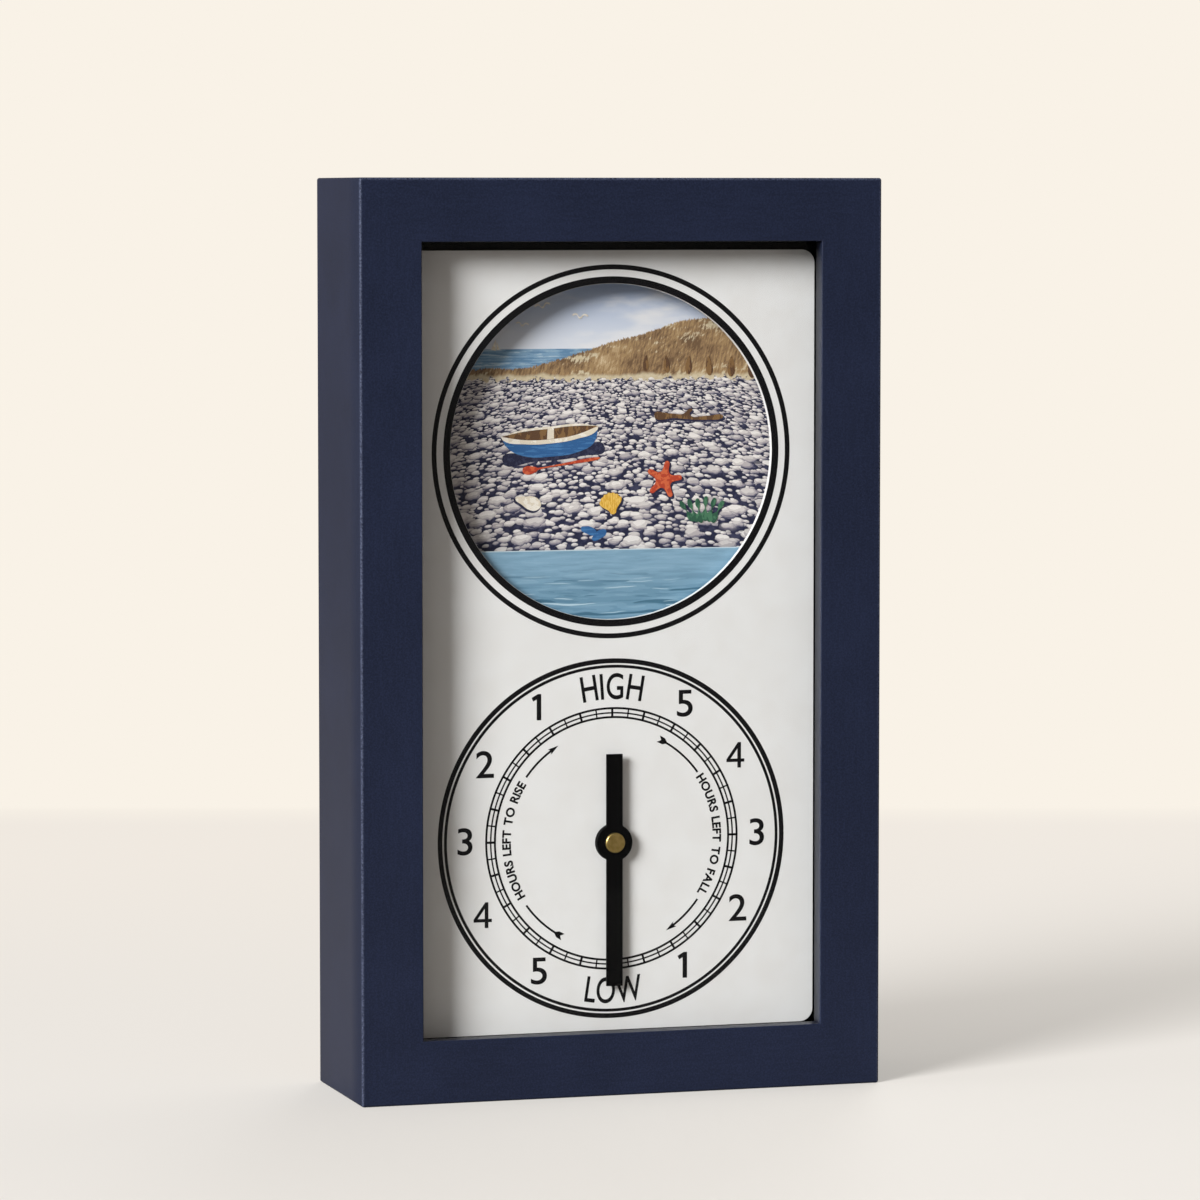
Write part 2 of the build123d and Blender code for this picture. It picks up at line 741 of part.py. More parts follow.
with BuildPart() as movement_gasket:
    gasket = (2 * (movement_half - gasket_margin), movement_height - 2 * gasket_margin)
    slab(plate_back, movement_front, gasket, (0, movement_middle), movement_corner_radius)
    disc(plate_back, movement_front, bush_radius + bush_clearance, dial_centre, Mode.SUBTRACT)
save(movement_gasket, "movement_gasket")

with BuildPart() as threaded_bush:
    disc(nut_front, movement_front, bush_radius, dial_centre)
    disc(movement_front, flange_back, bush_flange_radius, dial_centre)
    disc(nut_front, flange_back, arbor_radius + running_fit, dial_centre, Mode.SUBTRACT)
save(threaded_bush, "threaded_bush")

with BuildPart() as bush_washer:
    disc(washer_front, plate_front, washer_radius, dial_centre)
    disc(washer_front, plate_front, bush_radius, dial_centre, Mode.SUBTRACT)
save(bush_washer, "bush_washer")

with BuildPart() as bush_nut:
    with BuildSketch(layer(nut_front)) as hexagon:
        with Locations(dial_centre):
            RegularPolygon(nut_across_flats / 2, 6, major_radius=False)
            Circle(bush_radius, mode=Mode.SUBTRACT)
    extrude(hexagon.sketch, amount=-nut_height)
save(bush_nut, "bush_nut")

with BuildPart() as train_bridge:
    with BuildSketch(layer(bridge_front)) as bridge:
        Polygon(*bridge_posts, align=None)
        offset(amount=bridge_margin)
    extrude(bridge.sketch, amount=-bridge_thickness)
    for spot in train_spots:
        disc(bridge_front, bridge_back, train_arbor_radius + running_fit, spot, Mode.SUBTRACT)
save(train_bridge, "train_bridge")

# Battery and its contacts: the plus end points to +X


def along_x(start, end, radius, depth, z, mode=Mode.ADD):
    """A cylinder along X."""
    with BuildSketch(Plane.YZ.offset(start)) as section:
        with Locations((depth - case_depth / 2, z)):
            Circle(radius)
    extrude(section.sketch, amount=end - start, mode=mode)


battery_end = battery_length / 2
with BuildPart() as battery:
    along_x(-battery_end, battery_end - battery_nub_length, battery_radius, battery_depth, battery_z)
    along_x(battery_end - battery_nub_length, battery_end, battery_nub_radius, battery_depth, battery_z)
save(battery, "battery")


def battery_contact(name, side):
    with BuildPart() as contact:
        plate_x = side * (movement_inner - contact_thickness / 2)
        plate = (contact_thickness, contact_width)
        plate_edge = battery_depth - contact_width / 2
        slab(plate_edge, plate_edge + contact_width, plate, (plate_x, battery_z))
        inner_face = side * (movement_inner - contact_thickness)
        along_x(min(inner_face, side * battery_end), max(inner_face, side * battery_end),
                contact_dimple_radius, battery_depth, battery_z)
    save(contact, name)


battery_contact("plus_contact", 1)
battery_contact("minus_contact", -1)

# Circuit and motor

with BuildPart() as circuit_board:
    slab(circuit_front, circuit_back, (board_width, board_height), (circuit_x, circuit_z))
save(circuit_board, "circuit_board")

with BuildPart() as quartz_crystal:
    crystal_z = circuit_z + board_height / 4
    along_x(circuit_x - crystal_length / 2, circuit_x + crystal_length / 2, crystal_radius,
            circuit_back + crystal_radius, crystal_z)
save(quartz_crystal, "quartz_crystal")

with BuildPart() as clock_chip:
    disc(circuit_back, circuit_back + chip_height, chip_radius, (circuit_x, circuit_z - board_height / 6))
save(clock_chip, "clock_chip")

with BuildPart() as stator:
    disc(stator_front, stator_back, stator_reach, rotor_spot)
    leg_height = coil_z + stator_bar_width / 2 - rotor_spot[1]
    leg_middle = (rotor_spot[0], rotor_spot[1] + leg_height / 2)
    slab(stator_front, stator_back, (stator_bar_width, leg_height), leg_middle)
    bar_length = rotor_spot[0] + stator_bar_width / 2 - bar_end_x
    slab(stator_front, stator_back, (bar_length, stator_bar_width), (bar_end_x + bar_length / 2, coil_z))
    disc(stator_front, stator_back, rotor_radius + rotor_air_gap, rotor_spot, Mode.SUBTRACT)
save(stator, "stator")

with BuildPart() as motor_coil:
    along_x(coil_x - coil_length / 2, coil_x + coil_length / 2, coil_radius, stator_middle, coil_z)
    slab(stator_front, stator_back, (coil_length, stator_bar_width), (coil_x, coil_z), mode=Mode.SUBTRACT)
save(motor_coil, "motor_coil")


def train_arbor(spot):
    disc(floor_back - pivot_depth + pinion_overhang, train_end, train_arbor_radius, spot)


with BuildPart() as rotor:
    train_arbor(rotor_spot)
    disc(stator_middle - rotor_length / 2, stator_middle + rotor_length / 2, rotor_radius, rotor_spot)
    gear(stage(5) - pinion_overhang, stage(5) + stage_wheel + pinion_overhang, pinion_teeth, train_module,
         rotor_spot, facing_gap(pinion_teeth, rotor_angle + 180))
save(rotor, "rotor")


def wheel_with_pinion(name, spot, level, teeth, wheel_tooth, pinion_tooth):
    """A wheel of the going train with its pinion one layer in front of it, on one arbor."""
    with BuildPart() as wheel:
        train_arbor(spot)
        gear(stage(level), stage(level) + stage_wheel, teeth, train_module, spot, wheel_tooth)
        pinion_front = stage(level - 1) - pinion_overhang
        gear(pinion_front, stage(level), pinion_teeth, train_module, spot, pinion_tooth)
    save(wheel, name)


wheel_with_pinion("intermediate_wheel", intermediate_spot, 5, intermediate_teeth, rotor_angle,
                  facing_gap(pinion_teeth, intermediate_angle + 180))
wheel_with_pinion("seconds_wheel", seconds_spot, 4, seconds_teeth, intermediate_angle,
                  facing_gap(pinion_teeth, seconds_angle + 180))
wheel_with_pinion("third_wheel", third_spot, 3, third_teeth, seconds_angle,
                  facing_gap(pinion_teeth, third_angle + 180))

with BuildPart() as centre_wheel:
    gear(stage(2), stage(2) + stage_wheel, centre_teeth, train_module, dial_centre, third_angle)
    disc(stage(2), stage(2) + stage_wheel, centre_arbor_radius + running_fit, dial_centre, Mode.SUBTRACT)
save(centre_wheel, "centre_wheel")

# Motion work: the setting arbor drives the tide arbor twelve to one

arbor_end = stage(0) + stage_wheel
pivot_bore = arbor_end - pivot_bore_depth
with BuildPart() as centre_arbor:
    disc(pivot_bore + pinion_overhang, knob_back - knob_web, centre_arbor_radius, dial_centre)
    gear(stage(1) - pinion_overhang, stage(1) + stage_wheel + pinion_overhang, cannon_teeth, minute_module,
         dial_centre, facing_gap(cannon_teeth, minute_angle))
save(centre_arbor, "centre_arbor")

with BuildPart() as setting_knob:
    disc(knob_front, knob_back, knob_radius, dial_centre)
    for flute in range(knob_flutes):
        groove_spot = polar(dial_centre, knob_radius, flute * 360 / knob_flutes)
        disc(knob_front, knob_back, knob_flute_radius, groove_spot, Mode.SUBTRACT)
    disc(knob_front, knob_back - knob_web, centre_arbor_radius, dial_centre, Mode.SUBTRACT)
save(setting_knob, "setting_knob")

with BuildPart() as minute_wheel:
    gear(stage(1), stage(1) + stage_wheel, minute_teeth, minute_module, minute_spot, minute_angle + 180)
    gear(stage(0) - pinion_overhang, stage(1), minute_pinion_teeth, motion_module, minute_spot,
         facing_gap(minute_pinion_teeth, minute_angle + 180))
    disc(stage(0) - pinion_overhang, stage(1) + stage_wheel, minute_post_radius + running_fit, minute_spot,
         Mode.SUBTRACT)
save(minute_wheel, "minute_wheel")

with BuildPart() as tide_wheel:
    gear(stage(0), arbor_end, tide_teeth, motion_module, dial_centre, minute_angle)
    disc(stage(0), arbor_end, arbor_radius, dial_centre, Mode.SUBTRACT)
save(tide_wheel, "tide_wheel")

with BuildPart() as tide_arbor:
    disc(cap_front + cap_height - cap_bore_depth, arbor_end, arbor_radius, dial_centre)
    disc(pivot_bore, arbor_end, centre_arbor_radius + running_fit, dial_centre, Mode.SUBTRACT)
save(tide_arbor, "tide_arbor")

# Hand, pointing at low tide

with BuildPart() as tide_hand:
    hand_length = hand_pointer + hand_tail
    slab(hand_front, collar_front, (hand_width, hand_length), (0, dial_z + (hand_tail - hand_pointer) / 2))
    disc(hand_front, collar_front, hand_hub_radius, dial_centre)
    disc(hand_front, collar_front, arbor_radius, dial_centre, Mode.SUBTRACT)
save(tide_hand, "tide_hand")

with BuildPart() as hand_collar:
    disc(collar_front, collar_front + collar_step, collar_step_radius, dial_centre)
    disc(collar_front + collar_step, collar_back, hand_hub_radius, dial_centre)
    disc(collar_front, collar_back, arbor_radius, dial_centre, Mode.SUBTRACT)
save(hand_collar, "hand_collar")

with BuildPart() as hand_cap:
    disc(cap_front, hand_front, cap_radius, dial_centre)
    chamfer(hand_cap.edges().group_by(Axis.Y)[0], cap_chamfer)
    disc(hand_front - cap_bore_depth, hand_front, arbor_radius, dial_centre, Mode.SUBTRACT)
save(hand_cap, "hand_cap")
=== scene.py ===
# %% [markdown]
# # Dressing a tide clock
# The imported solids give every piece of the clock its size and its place. This lesson loads them as a fixed
# frame, adds what only shows from close by (eased edges, print, a picture, screw recesses) and gives each
# surface a finish made of shader nodes. Everything is in metres, with the front of the clock towards -Y.

# %% Load the frame
import json
import math

import bpy
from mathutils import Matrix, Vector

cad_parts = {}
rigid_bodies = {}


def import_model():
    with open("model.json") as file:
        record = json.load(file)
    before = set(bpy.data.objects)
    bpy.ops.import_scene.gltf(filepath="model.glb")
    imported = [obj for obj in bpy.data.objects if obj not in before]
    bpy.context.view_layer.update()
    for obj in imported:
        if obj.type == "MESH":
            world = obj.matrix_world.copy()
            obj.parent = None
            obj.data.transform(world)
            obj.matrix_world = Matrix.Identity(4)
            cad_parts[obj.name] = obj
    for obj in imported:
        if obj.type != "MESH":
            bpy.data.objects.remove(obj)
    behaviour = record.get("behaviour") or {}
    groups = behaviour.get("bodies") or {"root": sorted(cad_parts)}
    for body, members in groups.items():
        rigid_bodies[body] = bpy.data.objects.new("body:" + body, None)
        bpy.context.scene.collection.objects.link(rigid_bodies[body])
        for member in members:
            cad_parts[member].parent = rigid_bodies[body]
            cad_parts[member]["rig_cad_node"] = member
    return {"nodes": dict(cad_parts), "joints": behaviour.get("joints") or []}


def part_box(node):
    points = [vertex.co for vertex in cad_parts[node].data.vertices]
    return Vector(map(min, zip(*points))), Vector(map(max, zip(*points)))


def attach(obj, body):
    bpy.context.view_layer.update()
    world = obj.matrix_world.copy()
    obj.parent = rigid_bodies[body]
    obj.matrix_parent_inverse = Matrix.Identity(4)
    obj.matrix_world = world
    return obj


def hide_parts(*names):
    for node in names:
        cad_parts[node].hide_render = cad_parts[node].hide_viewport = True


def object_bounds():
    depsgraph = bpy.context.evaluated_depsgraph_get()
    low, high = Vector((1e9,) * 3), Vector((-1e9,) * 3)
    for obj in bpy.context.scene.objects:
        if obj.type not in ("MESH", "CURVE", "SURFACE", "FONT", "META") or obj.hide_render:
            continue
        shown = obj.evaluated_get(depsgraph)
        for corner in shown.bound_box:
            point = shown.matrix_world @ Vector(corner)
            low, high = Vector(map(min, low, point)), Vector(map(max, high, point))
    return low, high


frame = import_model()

cad_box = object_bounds()
nodes = frame["nodes"]
joint_places = {joint["name"]: joint["pos_m"] for joint in frame["joints"]}
print(f"{len(nodes)} solids, box {[round(side, 4) for side in cad_box[1] - cad_box[0]]} m")

# %% [markdown]
# ## Camera
# The photograph was taken with a long lens from the left and a little above the middle. A long lens keeps
# upright edges nearly parallel, so the camera stands well back. It could be placed by eye; here its place
# and its lens were fitted to the corners of the case, which also gave the proportions of the solids.

# %% Camera
camera_place = (-0.5416, -1.78528, 0.29838)
camera_yaw = math.radians(16.886)
camera_pitch = math.radians(4.138)
camera_lens = 167.03
sensor_width = 36.0

bpy.ops.object.camera_add(
    location=camera_place,
    rotation=(math.pi / 2 - camera_pitch, 0, -camera_yaw),
)
camera = bpy.context.object
camera.data.lens = camera_lens
camera.data.sensor_width = sensor_width
bpy.context.scene.camera = camera
print(f"camera {camera.location.length:.2f} m from the origin, lens {camera_lens} mm")

# %% [markdown]
# ## Shader arithmetic
# Nodes could be added and linked one by one, but a tree is easier to read as a sum. The class below wraps
# one output socket: arithmetic on it adds Math nodes, and `node` adds any other kind, with its settings
# first and then the values or links of its inputs. `Finish` is a material made with it.

# %% The Wire class
class Wire:
    """One output socket of a node tree. Arithmetic on it adds Math nodes to that tree."""

    def __init__(self, socket):
        self.socket = socket
        self.tree = socket.id_data

    def node(self, kind, settings=None, inputs=None, output=0):
        """Adds a node, sets it up, fills or links its inputs, and returns one of its outputs."""
        made = self.tree.nodes.new(kind)
        for key, value in (settings or {}).items():
            if key == "stops":
                set_stops(made.color_ramp, value)
            else:
                setattr(made, key, value)
        for key, value in (inputs or {}).items():
            if isinstance(value, Wire):
                self.tree.links.new(value.socket, made.inputs[key])
            else:
                made.inputs[key].default_value = value
        return Wire(made.outputs[output])

    def math(self, operation, *others):
        """A Math node with this value first."""
        return self.node("ShaderNodeMath", {"operation": operation}, dict(enumerate((self, *others))))

    def __add__(self, other):
        return self.math("ADD", other)

    __radd__ = __add__

    def __mul__(self, other):
        return self.math("MULTIPLY", other)

    __rmul__ = __mul__

    def __sub__(self, other):
        return self.math("SUBTRACT", other)

    def __rsub__(self, other):
        return self.node("ShaderNodeMath", {"operation": "SUBTRACT"}, {0: other, 1: self})

    def __truediv__(self, other):
        return self.math("DIVIDE", other)

    def __rtruediv__(self, other):
        return self.node("ShaderNodeMath", {"operation": "DIVIDE"}, {0: other, 1: self})

    def __neg__(self):
        return self * -1

    def rises(self, low, high):
        """0 below low, 1 above high, and smooth between them."""
        return self.node(
            "ShaderNodeMapRange",
            {"interpolation_type": "SMOOTHSTEP"},
            {"Value": self, "From Min": low, "From Max": high},
        )

    def mix(self, first, second):
        """The first colour where this value is 0, the second where it is 1."""
        colours = {"Factor": self, 6: first, 7: second}
        return self.node("ShaderNodeMix", {"data_type": "RGBA"}, colours, output=2)

    def flat_tones(self, *stops):
        """Steps of flat colour by this value: each (place, hex colour) holds up to the next place."""
        stops = [(place, tone(colour)) for place, colour in stops]
        made = self.node("ShaderNodeValToRGB", {"stops": stops}, {"Fac": self})
        made.socket.node.color_ramp.interpolation = "CONSTANT"
        return made

    def axes(self):
        split = self.node("ShaderNodeSeparateXYZ", None, {0: self}).socket.node
        return [Wire(socket) for socket in split.outputs]

    def scaled(self, x, y, z):
        """This vector with each axis multiplied, as a pattern's scale."""
        values = {"Vector": self, "Scale": (x, y, z)}
        return self.node("ShaderNodeMapping", {"vector_type": "POINT"}, values)

    def noise(self, scale, detail, roughness):
        values = {"Vector": self, "Scale": scale, "Detail": detail, "Roughness": roughness}
        return self.node("ShaderNodeTexNoise", None, values)


print(f"class {Wire.__name__} ready")

# %% Colours and finishes
def set_stops(color_ramp, stops):
    while len(color_ramp.elements) < len(stops):
        color_ramp.elements.new(1.0)
    for element, (place, colour) in zip(color_ramp.elements, stops):
        element.position = place
        element.color = colour


def tone(hex_colour):
    """A colour written as six hex digits, as the linear value that a shader takes."""
    channels = [int(hex_colour[start:start + 2], 16) / 255 for start in (0, 2, 4)]
    linear = [c / 12.92 if c <= 0.04045 else ((c + 0.055) / 1.055) ** 2.4 for c in channels]
    return (*linear, 1.0)


class Finish:
    """A material that starts with Object coordinates and ends in one Principled shader."""

    def __init__(self, name):
        self.material = bpy.data.materials.new(name)
        self.material.use_nodes = True
        self.tree = self.material.node_tree
        self.shader = self.tree.nodes["Principled BSDF"]
        coordinates = self.tree.nodes.new("ShaderNodeTexCoord")
        self.place = Wire(coordinates.outputs["Object"])

    def set(self, **values):
        """Fills or links inputs of the shader: base_color is its Base Color, and so on."""
        for key, value in values.items():
            socket = self.shader.inputs[key.replace("_", " ").title().replace("Ior", "IOR")]
            if isinstance(value, Wire):
                self.tree.links.new(value.socket, socket)
            else:
                socket.default_value = value
        return self

    def relief(self, height, depth, strength):
        """Bump: a height from 0 to 1, how deep 1 is in metres, and how much of it shows."""
        values = {"Height": height, "Distance": depth, "Strength": strength}
        bump = self.place.node("ShaderNodeBump", None, values)
        self.tree.links.new(bump.socket, self.shader.inputs["Normal"])
        return self


print(f"class {Finish.__name__} ready")

# %% [markdown]
# ## Modelling tools
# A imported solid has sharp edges. On a real piece every edge is a little rounded and catches the light. The
# solid could be remodelled from primitives, but a copy keeps its size for certain, so most visible pieces
# are a copy of their solid with its loose triangles merged and a Bevel modifier applied.

# %% Select, join and merge
mm = 0.001
merge_distance = 0.001 * mm


def select_only(*pieces):
    bpy.ops.object.select_all(action="DESELECT")
    for piece in pieces:
        piece.select_set(True)
        bpy.context.view_layer.objects.active = piece


def newest(name):
    """The object that the last operator added, with its name given."""
    piece = bpy.context.object
    piece.name = name
    piece.data.name = name
    return piece


def settle(piece):
    """Puts the piece's place into its mesh, so that the object sits at the origin."""
    select_only(piece)
    bpy.ops.object.transform_apply(location=True, rotation=True, scale=True)
    return piece


def merge_doubles(piece, outward=True):
    select_only(piece)
    bpy.ops.object.mode_set(mode="EDIT")
    bpy.ops.mesh.select_all(action="SELECT")
    bpy.ops.mesh.remove_doubles(threshold=merge_distance)
    if outward:
        bpy.ops.mesh.normals_make_consistent(inside=False)
    bpy.ops.object.mode_set(mode="OBJECT")


def joined(name, pieces):
    select_only(*pieces)
    if len(pieces) > 1:
        bpy.ops.object.join()
    return settle(newest(name))


def apply_modifier(piece, kind, **settings):
    modifier = piece.modifiers.new(kind.lower(), kind)
    for key, value in settings.items():
        setattr(modifier, key, value)
    select_only(piece)
    bpy.ops.object.modifier_apply(modifier=modifier.name)


print(f"doubles merge within {merge_distance} m")

# %% Copies with eased edges
sharp_angle = math.radians(35)
flat_angle = math.radians(0.5)
flat_area = 0.1 * mm * mm


def copy_of(node, name):
    """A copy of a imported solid, with its triangles merged into whole flat faces."""
    select_only(nodes[node])
    bpy.ops.object.duplicate()
    piece = newest(name)
    piece.parent = None
    del piece["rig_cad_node"]
    merge_doubles(piece, outward=False)
    bpy.ops.object.mode_set(mode="EDIT")
    bpy.ops.mesh.dissolve_limited(angle_limit=flat_angle)
    bpy.ops.object.mode_set(mode="OBJECT")
    return piece


def smooth(piece):
    """Shades a piece smooth, keeps its flat faces flat, and cuts faces of many corners into triangles."""
    select_only(piece)
    bpy.ops.object.shade_smooth_by_angle(angle=sharp_angle)
    apply_modifier(piece, "WEIGHTED_NORMAL", keep_sharp=True, weight=100, thresh=flat_area)
    apply_modifier(piece, "TRIANGULATE", min_vertices=5, ngon_method="BEAUTY", keep_custom_normals=True)


def finish_piece(piece, finish, body, slot, *replaced):
    """Gives a piece its material, the body it rides on and the solids that it stands for; the slot is not
    used.
    """
    piece.data.materials.clear()
    piece.data.materials.append(finish.material)
    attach(piece, body)
    if replaced:
        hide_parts(*replaced)
    print(f"{piece.name}: {len(piece.data.polygons)} faces, {finish.material.name}, on {body}")


def eased(node, width, finish, body, slot, segments=2):
    """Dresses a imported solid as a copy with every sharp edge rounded."""
    piece = copy_of(node, f"{node}_eased")
    apply_modifier(
        piece, "BEVEL", width=width, segments=segments, limit_method="ANGLE", angle_limit=sharp_angle
    )
    smooth(piece)
    finish_piece(piece, finish, body, slot, node)


print(f"edges past {math.degrees(sharp_angle):.0f} degrees are eased")

# %% [markdown]
# ## Studio
# The clock stands on a pale floor in front of a cream wall. The wall is bright, so it lights the floor and
# the sides of the case, while the side towards the camera stays dim. A soft round lamp from the left throws
# the shadow of the frame on the panel: the larger such a lamp, the softer that shadow. A weak lamp behind
# lights the back board. A wall of its own would block the view from behind, so the far part of the floor
# and the world take its colour instead, and camera rays alone see the floor in its full brightness.

# %% Floor
wall_colour = tone("f9f2e7")
far_floor_colour = tone("f2ebe2")
floor_colour = tone("ebe7e2")
near_floor_colour = tone("e5e4e0")
floor_bounce = tone("8f8a84")
mirrored_floor = 0.15
wall_distance = 0.81
wall_blur = 0.10
floor_radius = 1.05
floor_middle = 0.5
edge_fade = (floor_radius * 0.78, floor_radius * 0.97)
near_to_far = (-0.3, 0.75)
near_glow = 0.24
added_glow = 0.60


def rays(wire):
    """Camera rays, and the rays that are mirrored or sent on by a surface."""
    kinds = wire.node("ShaderNodeLightPath").socket.node.outputs
    glossy = Wire(kinds["Is Glossy Ray"])
    mirrored = glossy.math("MAXIMUM", Wire(kinds["Is Transmission Ray"]))
    return Wire(kinds["Is Camera Ray"]), mirrored


bpy.ops.object.select_all(action="DESELECT")
bpy.ops.mesh.primitive_circle_add(
    vertices=96, radius=floor_radius, location=(0, floor_middle, 0), fill_type="NGON"
)
floor = settle(newest("studio_floor"))
floor_finish = Finish("studio_floor")
seen, mirrored = rays(floor_finish.place)
shown = seen.math("MAXIMUM", mirrored * mirrored_floor)
floor_finish.set(base_color=shown.mix(floor_bounce, floor_colour), roughness=0.75, specular_ior_level=0.2)
side, back, _ = floor_finish.place.axes()
middle = back - floor_middle
floor_edge = (side * side + middle * middle).math("SQRT").rises(*edge_fade)
along_view = back * math.cos(camera_yaw) + side * math.sin(camera_yaw)
wall = along_view.rises(wall_distance - wall_blur / 2, wall_distance + wall_blur / 2)
far = floor_edge.math("MAXIMUM", wall)
distance = back.rises(*near_to_far)
glow = far.math("MAXIMUM", near_glow + distance * added_glow)
glow_colour = far.mix(distance.mix(near_floor_colour, far_floor_colour), wall_colour)
wall_light = seen.node("ShaderNodeEmission", None, {"Color": glow_colour, "Strength": 1.0})
floor_shade = Wire(floor_finish.shader.outputs[0])
floor_mix = seen.node("ShaderNodeMixShader", None, {0: glow * shown, 1: floor_shade, 2: wall_light})
floor_output = floor_finish.tree.nodes["Material Output"]
floor_finish.tree.links.new(floor_mix.socket, floor_output.inputs["Surface"])
floor.data.materials.append(floor_finish.material)
print(f"{floor.name}: {2 * floor_radius} m across")

# %% World and lamps
room_dark = (0.182, 0.163, 0.150, 1.0)
room_bright = (0.38, 0.365, 0.35, 1.0)
mirror_share = 0.06
wall_back = (-0.15, 0.35)
wall_right = (-0.1, 0.5)
lamp_tilt = 0.6
lamp_left = (-0.1, 0.9)
lamp_depth = 0.6
lamp_front = (-0.3, 0.6)
aim = (0.0, 0.0, 0.15)

world = bpy.data.worlds.new("studio")
bpy.context.scene.world = world
world.use_nodes = True
background = world.node_tree.nodes["Background"]
direction = Wire(world.node_tree.nodes.new("ShaderNodeTexCoord").outputs["Generated"])
world_x, world_y, world_z = direction.axes()
seen, mirrored = rays(direction)
behind = world_y.rises(*wall_back) * world_x.rises(*wall_right)
lamp_side = (world_z * lamp_tilt - world_x).rises(*lamp_left) * (lamp_depth - world_y).rises(*lamp_front)
room = lamp_side.mix(room_dark, room_bright)
wall_share = behind.math("MAXIMUM", seen.math("MAXIMUM", mirrored * mirror_share))
backdrop = wall_share.mix(room, wall_colour)
world.node_tree.links.new(backdrop.socket, background.inputs["Color"])


def soft_lamp(name, turn, rise, distance, size, power):
    """A round lamp aimed at the clock. Its turn is in degrees from the front towards the left."""
    turn, rise = math.radians(turn), math.radians(rise)
    place = (
        aim[0] - distance * math.sin(turn) * math.cos(rise),
        aim[1] - distance * math.cos(turn) * math.cos(rise),
        aim[2] + distance * math.sin(rise),
    )
    bpy.ops.object.light_add(type="AREA", location=place, rotation=(math.pi / 2 - rise, 0, -turn))
    lamp = bpy.context.object
    lamp.name = name
    lamp.data.shape = "DISK"
    lamp.data.size = size
    lamp.data.energy = power
    lamp.visible_camera = False
    print(f"{name} at {[round(c, 2) for c in place]}, {power} W")


soft_lamp("key_lamp", turn=56, rise=23.3, distance=6.0, size=2.5, power=537.0)
soft_lamp("back_lamp", turn=-152, rise=10, distance=4.0, size=1.4, power=28.0)
bpy.context.scene.view_settings.view_transform = "Standard"

# %% [markdown]
# ## Painted rails
# The case is wood under satin navy paint. Close by, such paint shows the stipple of the roller and a trace
# of the grain along each rail, and its outer front edges are a shade lighter and speckled: a painted
# highlight along the edges that catch the lamp. The grain runs along the rail, so each pair of rails has its
# own stretch of the same pattern. A Bevel modifier would ease the mitres too and leave grooves there, so
# only the front edge of the opening is selected and beveled.

# %% Navy paint
paint_colour = tone("161d31")
paint_light = tone("222a43")
# The next tone is a painted highlight for the outer front edges of the case.
paint_edge_highlight = tone("4c536a")
grain_stretch = 0.09
# Bands of the painted edge highlight; the inner one also bounds the sanded roughness of the sides.
edge_highlight_width = 1.1 * mm
wear_and_highlight_full = 0.3 * mm
side_skin = 0.1 * mm
sanded_depth = 16 * mm
case_low, case_high = cad_box
case_front = case_low.y


def navy_paint(name, along):
    """Satin paint; along is the stretch of its grain on each axis."""
    finish = Finish(name)
    grain = finish.place.scaled(*along).noise(900, 3.0, 0.6)
    stipple = finish.place.noise(1700, 3.0, 0.65)
    cloud = finish.place.noise(28, 3.0, 0.55)
    mottle = (grain * 0.2 + stipple * 0.8).rises(0.38, 0.66)
    shade = mottle * 0.75 + cloud.rises(0.35, 0.7) * 0.25
    coat = shade.mix(paint_colour, paint_light)
    # Painted highlight: the outer front edges are lighter, speckled by the stipple.
    painted_edge_highlight = arris(finish) * stipple.rises(0.30, 0.70)
    finish.set(
        base_color=painted_edge_highlight.mix(coat, paint_edge_highlight),
        roughness=0.34 + stipple * 0.14 + sanded(finish) * 0.3,
        specular_ior_level=0.25,
    )
    return finish.relief(stipple * 0.75 + grain * 0.25, 0.06 * mm, 0.6)


def sanded(finish):
    """1 at the front of the outer sides, which were sanded down with the front, and 0 further back."""
    x, y, _ = finish.place.axes()
    outer = x.math("ABSOLUTE").rises(case_high.x - wear_and_highlight_full, case_high.x - side_skin)
    return outer * (-y).rises(-case_front - sanded_depth, -case_front)


def arris(finish):
    """1 along the outer front edges of the case, where a highlight is painted, and 0 away from them."""
    x, y, z = finish.place.axes()
    side = x.math("ABSOLUTE").rises(case_high.x - edge_highlight_width, case_high.x - wear_and_highlight_full)
    front = (-y).rises(-case_front - edge_highlight_width, -case_front - wear_and_highlight_full)
    top = z.rises(case_high.z - edge_highlight_width, case_high.z - wear_and_highlight_full)
    return (side + top).math("MINIMUM", 1.0) * front


upright_paint = navy_paint("navy_paint_upright", (1.0, 1.0, grain_stretch))
level_paint = navy_paint("navy_paint_level", (grain_stretch, 1.0, 1.0))
print(f"{upright_paint.material.name} and {level_paint.material.name} mixed")

# %% Rails
arris_width = 0.35 * mm
edge_tolerance = 0.05 * mm
face_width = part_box("left_rail")[1].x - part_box("left_rail")[0].x
opening_left = case_low.x + face_width
opening_bottom = case_low.z + face_width
opening_top = case_high.z - face_width


def on_opening(point):
    """Whether a point lies on the front edge of the opening."""
    upright = abs(abs(point.x) + opening_left) < edge_tolerance
    level = min(abs(point.z - opening_bottom), abs(point.z - opening_top)) < edge_tolerance
    return abs(point.y - case_front) < edge_tolerance and (upright or level)


def painted_rail(node, finish):
    """A copy of a rail with its edge on the opening eased."""
    piece = copy_of(node, f"{node}_painted")
    mesh = piece.data
    for part in (mesh.polygons, mesh.edges, mesh.vertices):
        part.foreach_set("select", [False] * len(part))
    for edge in mesh.edges:
        edge.select = all(on_opening(mesh.vertices[corner].co) for corner in edge.vertices)
    select_only(piece)
    bpy.ops.object.mode_set(mode="EDIT")
    bpy.ops.mesh.select_mode(type="EDGE")
    bpy.ops.mesh.bevel(offset=arris_width, segments=3, affect="EDGES")
    bpy.ops.mesh.select_mode(type="VERT")
    bpy.ops.object.mode_set(mode="OBJECT")
    smooth(piece)
    finish_piece(piece, finish, "case", "navy_paint", node)


for rail in ("left_rail", "right_rail"):
    painted_rail(rail, upright_paint)
for rail in ("top_rail", "bottom_rail"):
    painted_rail(rail, level_paint)

